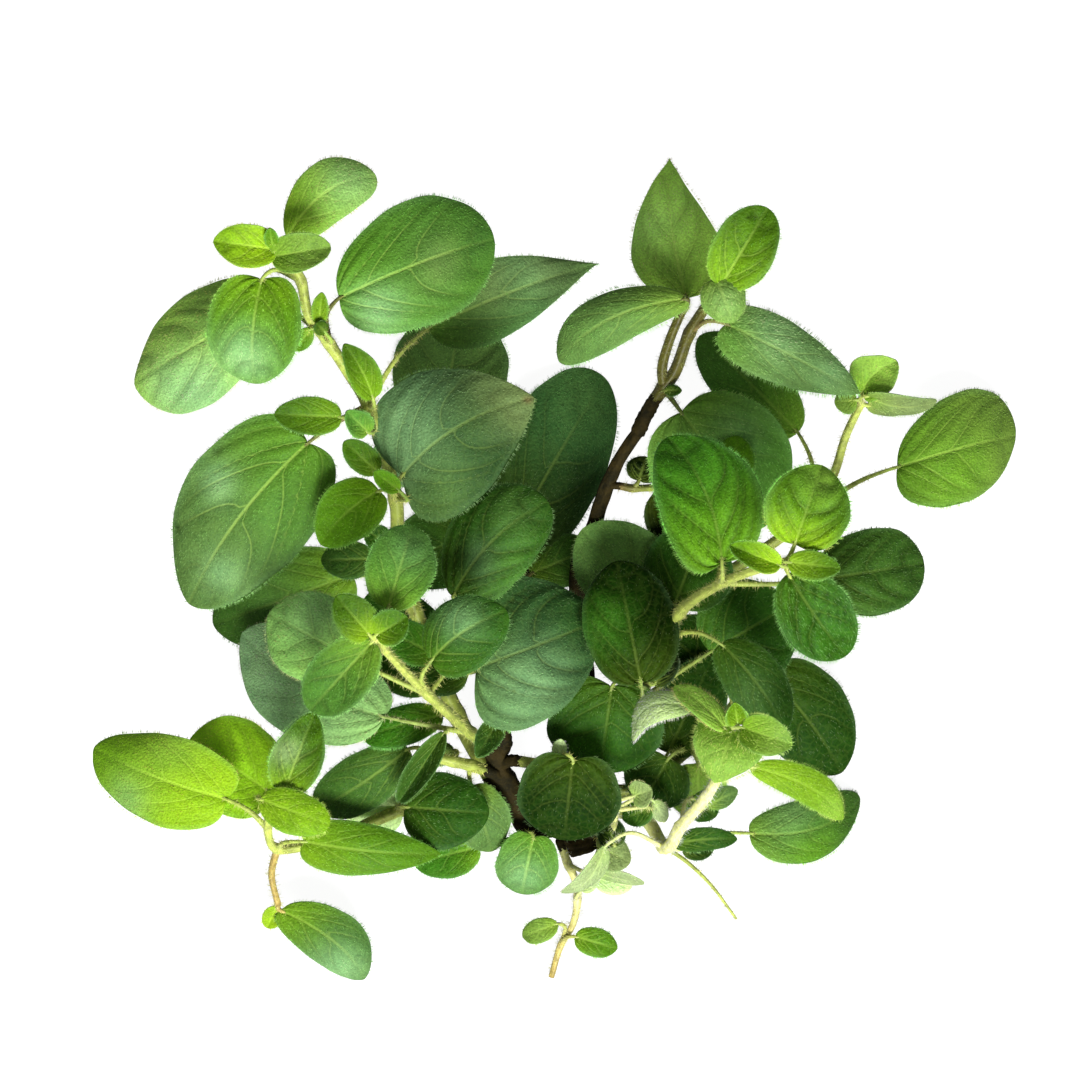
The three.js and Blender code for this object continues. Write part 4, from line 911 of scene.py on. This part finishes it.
def add_stem(stems, hairs, stem, tones, random):
    path = curve_through(stem.route, STEM_STEPS)
    way = along(path)
    nodes = [way[node * STEM_STEPS] for node in sorted({leaf.node for leaf in stem.leaves})]
    radii = swollen(way, tapered(way, *stem.radii), nodes)
    if stem.place:
        outward = unit(path[1] - path[0])
        path = np.vstack([path[0] - outward * STUB_OVERLAP, path])
        radii = np.append(radii[0], radii)
    add_tube(stems, path, radii, STEM_SIDES, square, tones)
    add_stem_hairs(hairs, path, radii, tones, random)


def add_leaf(blades, stems, hairs, route, leaf, tones, random):
    blade = Blade(leaf, random)
    blade.add_to(blades)
    blade.add_hairs_to(hairs, random)
    at_node = tone_along(tones, leaf.node / (len(route) - 1))
    if leaf.petiole:
        at_node = linear(STEM_TONES[leaf.petiole])
    in_blade = mixed(linear(TONES[leaf.tone]), linear(VEIN_TONE), 0.5)
    petiole, petiole_radii, path, radii = stalk(route, blade)
    between = 0.6 * at_node + 0.4 * in_blade
    add_tube(stems, path, radii, STALK_SIDES, round_section, [at_node, between, in_blade, in_blade])
    add_stem_hairs(hairs, petiole, petiole_radii, [at_node, in_blade], random, STALK_FUR)


def build_shoot(number, name, materials):
    blades, stems, hairs = Pile("tone", "leaf_veins", "leaf_grain"), Pile("tone"), Pile("tone")
    for part, stem in enumerate(stem for stem in STEMS if stem.shoot == name):
        tones = [linear(STEM_TONES[tone]) for tone in stem.tones]
        add_stem(stems, hairs, stem, tones, np.random.default_rng([SEED, number, part]))
        for place, leaf in enumerate(stem.leaves):
            random = np.random.default_rng([SEED, number, part, place])
            add_leaf(blades, stems, hairs, stem.route, leaf, tones, random)
    made = blades.piece(name + "_blades", materials["leaf"], "leafy_shoot")
    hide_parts("shoot_" + name)
    stems.piece(name + "_stems", materials["stem"], "leafy_shoot")
    hairs.piece(name + "_hairs", materials["hair"], "leafy_shoot")


def build_wood(material):
    """The woody limbs, and the stubs that carry the shoots."""
    wood = Pile("tone")
    tones = [linear(STEM_TONES["bark"])]
    for at_start, at_end, route in WOODY_LIMBS:
        path = curve_through(route, LIMB_STEPS)
        add_tube(wood, path, tapered(along(path), at_start, at_end), LIMB_SIDES, bark, tones)
    for stem in STEMS:
        if stem.place:
            foot = np.array(stem.route[0], float)
            outward = unit(np.subtract(*curve_through(stem.route, FOOT_STEPS)[[1, 0]]))
            ends = foot - outward * STUB_LENGTH, foot - outward * JOINT_GAP
            path = curve_through([stem.place, *ends], STUB_STEPS)
            radii = np.linspace(*(stem.radii[0] * flare for flare in STUB_FLARES), len(path))
            add_tube(wood, path, radii, STUB_SIDES, bark, tones)
    made = wood.piece("wood", material, "woody_stem")
    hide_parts("woody_base")


# ------------------------ materials

VEIN_TINT = (2.6, 2.3, 2.8, 1.0)  # times the leaf's tone
VEIN_SHARE = 0.75
NET_SHARE = 0.05
LIGHT_THROUGH_LEAF = (1.3, 1.5, 0.4, 1.0)  # times its colour
LEAF_THROUGH, STEM_THROUGH, HAIR_THROUGH = 0.2, 0.12, 0.5  # shares of the light that pass through
LEAF_GLOSS_TINT = (0.6, 1.0, 0.6, 1.0)


class Material:
    """A material that grows node by node; an input is a value or an output of another node."""

    def __init__(self, name):
        self.made = bpy.data.materials.new(name)
        self.made.use_nodes = True
        self.made.node_tree.nodes.clear()

    def node(self, kind, inputs=None, **settings):
        """The outputs of a new node."""
        tree = self.made.node_tree
        made = tree.nodes.new("ShaderNode" + kind)
        for key, value in settings.items():
            setattr(made, key, value)
        for key, value in (inputs or {}).items():
            if isinstance(value, bpy.types.NodeSocket):
                tree.links.new(value, made.inputs[key])
            else:
                made.inputs[key].default_value = value
        return made.outputs

    def maths(self, operation, first, second=0.0):
        return self.node("Math", {0: first, 1: second}, operation=operation)[0]

    def times(self, first, second):
        return self.maths("MULTIPLY", first, second)

    def plus(self, first, second):
        return self.maths("ADD", first, second)

    def ramp(self, value, low, high, at_low, at_high):
        """A smooth step from at_low to at_high while the value goes from low to high."""
        return self.node("MapRange", {"Value": value, "From Min": low, "From Max": high, "To Min": at_low,
                                      "To Max": at_high}, interpolation_type="SMOOTHSTEP")["Result"]

    def place(self):
        return self.node("TexCoord")["Object"]

    def noise(self, scale, detail=2.0):
        return self.node("TexNoise", {"Vector": self.place(), "Scale": scale, "Detail": detail})["Fac"]

    def attribute(self, name, output="Color"):
        return self.node("Attribute", attribute_name=name)[output]

    def mix(self, share, a, b, blend="MIX"):
        return self.node("Mix", {0: share, 6: a, 7: b}, data_type="RGBA", blend_type=blend)[2]

    def scaled(self, colour, red, green, blue):
        """A colour with each of its channels scaled."""
        return self.mix(1.0, colour, self.node("CombineColor", {0: red, 1: green, 2: blue})[0], "MULTIPLY")

    def bump(self, height, strength, distance):
        return self.node("Bump", {"Height": height, "Strength": strength, "Distance": distance})[0]

    def finish(self, skin, glow=None, through=0):
        """Ends the material: skin has the settings of its surface, and glow those of the light through it."""
        shader = self.node("BsdfPrincipled", skin)[0]
        if glow:
            glowing = self.node("BsdfTranslucent", glow)[0]
            shader = self.node("MixShader", {0: through, 1: shader, 2: glowing})[0]
        self.node("OutputMaterial", {"Surface": shader})
        return self.made


def opaque(colour):
    return (*linear(colour), 1.0)


def leaf_material():
    """Paler veins, a net of small ones, mottling and speckles over the tone; a dark leaf shines less."""
    m = Material("oregano_leaf")
    tone = m.attribute("tone")
    phase, across, spacing = m.node("SeparateXYZ", {0: m.attribute("leaf_veins", "Vector")})
    u, v, strength = m.node("SeparateXYZ", {0: m.attribute("leaf_grain", "Vector")})

    rib = m.ramp(m.maths("ABSOLUTE", across), 0.08, 0.4, 1, 0)
    rib = m.times(rib, m.ramp(u, 0.3, 0.95, 1, 0.15))
    side = m.ramp(m.times(m.maths("PINGPONG", phase, 0.5), spacing), 0.03, 0.24, 1, 0)
    side = m.times(side, m.ramp(m.maths("ABSOLUTE", v), 0.45, 0.95, 1, 0))
    side = m.times(side, m.ramp(u, 0.3, 0.95, 1, 0.1))
    main_veins = m.maths("MAXIMUM", rib, m.times(side, 0.6))

    cells = m.node("TexVoronoi", {"Vector": m.place(), "Scale": 760.0}, feature="DISTANCE_TO_EDGE")
    net = m.ramp(cells["Distance"], 0.0, 0.2, 1, 0)
    mottle = m.noise(260.0, detail=3.0)
    speckle = m.noise(3000.0)

    channels = ((0.9, 1.08), (0.93, 1.05), (0.94, 1.06))
    colour = m.scaled(tone, *(m.ramp(mottle, 0.3, 0.7, low, high) for low, high in channels))
    light = m.ramp(speckle, 0.3, 0.7, 0.82, 1.18)
    colour = m.scaled(colour, light, light, light)
    of_vein = m.mix(0.5, m.mix(1.0, tone, VEIN_TINT, "MULTIPLY"), opaque(VEIN_TONE))
    colour = m.mix(m.times(net, NET_SHARE), colour, of_vein)
    colour = m.mix(m.times(m.times(main_veins, strength), VEIN_SHARE), colour, of_vein)

    height = m.plus(m.times(net, -0.2), m.times(main_veins, -0.7))
    bump = m.bump(m.plus(height, m.times(speckle, 1.1)), strength=0.6, distance=0.00022)
    green = m.node("SeparateColor", {0: tone})[1]
    return m.finish(
        {"Base Color": colour, "Normal": bump, "Roughness": m.ramp(speckle, 0.25, 0.75, 0.4, 0.6),
         "Specular IOR Level": m.ramp(green, 0.02, 0.14, 0.04, 0.14), "Specular Tint": LEAF_GLOSS_TINT},
        {"Color": m.mix(1.0, colour, LIGHT_THROUGH_LEAF, "MULTIPLY"), "Normal": bump}, LEAF_THROUGH)


def stem_material():
    m = Material("oregano_stem")
    shade = m.ramp(m.noise(700.0, detail=4.0), 0.3, 0.7, 0.72, 1.2)
    spots = m.ramp(m.noise(1100.0, detail=3.0), 0.54, 0.68, 0, 0.3)
    colour = m.mix(spots, m.scaled(m.attribute("tone"), shade, shade, shade), opaque(SPOT_TONE))
    bump = m.bump(m.noise(3200.0), strength=0.5, distance=0.0002)
    return m.finish(
        {"Base Color": colour, "Normal": bump, "Roughness": 0.5, "Specular IOR Level": 0.4,
         "Sheen Weight": 0.1, "Sheen Roughness": 0.5},
        {"Color": colour}, STEM_THROUGH)


def hair_material():
    m = Material("oregano_hair")
    shade = m.ramp(m.noise(500.0), 0.3, 0.7, 0.85, 1.1)
    colour = m.scaled(m.attribute("tone"), shade, shade, shade)
    skin = {"Base Color": colour, "Roughness": 0.6, "Specular IOR Level": 0.3}
    return m.finish(skin, {"Color": colour}, HAIR_THROUGH)


def bark_material():
    m = Material("oregano_bark")
    furrows, ridges, fine = (opaque(tone) for tone in BARK_TONES)
    long_grain = m.noise(420.0, detail=5.0)
    fine_grain = m.noise(2400.0, detail=3.0)
    colour = m.mix(m.ramp(long_grain, 0.32, 0.68, 0, 1), furrows, ridges)
    colour = m.mix(m.ramp(fine_grain, 0.45, 0.75, 0, 0.3), colour, fine)
    colour = m.mix(0.45, colour, m.attribute("tone"))
    bump = m.bump(m.plus(long_grain, m.times(fine_grain, 0.4)), strength=0.8, distance=0.0005)
    return m.finish({"Base Color": colour, "Normal": bump, "Roughness": 0.8, "Specular IOR Level": 0.12})


# ------------------------ stage, light and camera

FLOOR_REACH = 6.0  # metres
FLOOR_DROP = 0.0002
FLOOR_GREYS = (0.28, 0.24)  # as light meets it, and as the camera does
FLOOR_GLOW = 0.93  # for the camera only
WORLD_STRENGTH = 0.28
KEY_POWER = 63.0
KEY_PLACE = (0.15, -1.2, 1.25)
KEY_SIZE = 0.9
CAMERA_PLACE = (-0.0025, 0.004667, 2.5)
CAMERA_LENS = 495.0
CAMERA_SENSOR = 36.0


def build_floor():
    """A pale floor that comes out white in the picture and gives the plant no more light than grey card."""
    signs = (-1, -1), (1, -1), (1, 1), (-1, 1)
    corners = [(x * FLOOR_REACH, y * FLOOR_REACH, -FLOOR_DROP) for x, y in signs]
    mesh = bpy.data.meshes.new("floor")
    mesh.from_pydata(corners, [], [(0, 1, 2, 3)])
    floor = bpy.data.objects.new("floor", mesh)
    bpy.context.scene.collection.objects.link(floor)
    m = Material("floor_white")
    card, shown = (m.node("BsdfDiffuse", {"Color": (grey, grey, grey, 1)})[0] for grey in FLOOR_GREYS)
    lit = m.node("AddShader", {0: shown, 1: m.node("Emission", {"Strength": FLOOR_GLOW})[0]})[0]
    seen = m.node("LightPath")["Is Camera Ray"]
    m.node("OutputMaterial", {"Surface": m.node("MixShader", {0: seen, 1: card, 2: lit})[0]})
    mesh.materials.append(m.made)


def build_light():
    world = bpy.data.worlds.new("studio")
    bpy.context.scene.world = world
    world.use_nodes = True
    background = world.node_tree.nodes["Background"]
    background.inputs["Color"].default_value = (1, 1, 1, 1)
    background.inputs["Strength"].default_value = WORLD_STRENGTH
    lamp = bpy.data.lights.new("key", "AREA")
    lamp.energy = KEY_POWER
    lamp.size = KEY_SIZE
    key = bpy.data.objects.new("key", lamp)
    key.location = KEY_PLACE
    key.rotation_euler = Vector(KEY_PLACE).to_track_quat("Z", "Y").to_euler()
    bpy.context.scene.collection.objects.link(key)


def build_camera():
    data = bpy.data.cameras.new("camera")
    data.lens = CAMERA_LENS
    data.sensor_width = CAMERA_SENSOR
    data.clip_start = 0.05
    data.clip_end = 20.0
    camera = bpy.data.objects.new("camera", data)
    camera.location = CAMERA_PLACE
    bpy.context.scene.collection.objects.link(camera)
    bpy.context.scene.camera = camera


# ------------------------ the scene

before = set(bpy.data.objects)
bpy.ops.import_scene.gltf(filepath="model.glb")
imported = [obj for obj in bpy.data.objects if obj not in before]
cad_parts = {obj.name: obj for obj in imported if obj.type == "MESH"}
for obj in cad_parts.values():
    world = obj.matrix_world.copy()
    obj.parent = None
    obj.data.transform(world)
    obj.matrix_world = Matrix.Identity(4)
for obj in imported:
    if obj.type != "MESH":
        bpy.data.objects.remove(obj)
CAD_BOX = [list(corner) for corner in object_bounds()]

bpy.context.scene.view_settings.view_transform = "Standard"
build_camera()
build_light()
build_floor()
looks = {"leaf": leaf_material(), "stem": stem_material(), "hair": hair_material()}
build_wood(bark_material())
for number, name in enumerate(dict.fromkeys(stem.shoot for stem in STEMS)):
    build_shoot(number, name, looks)
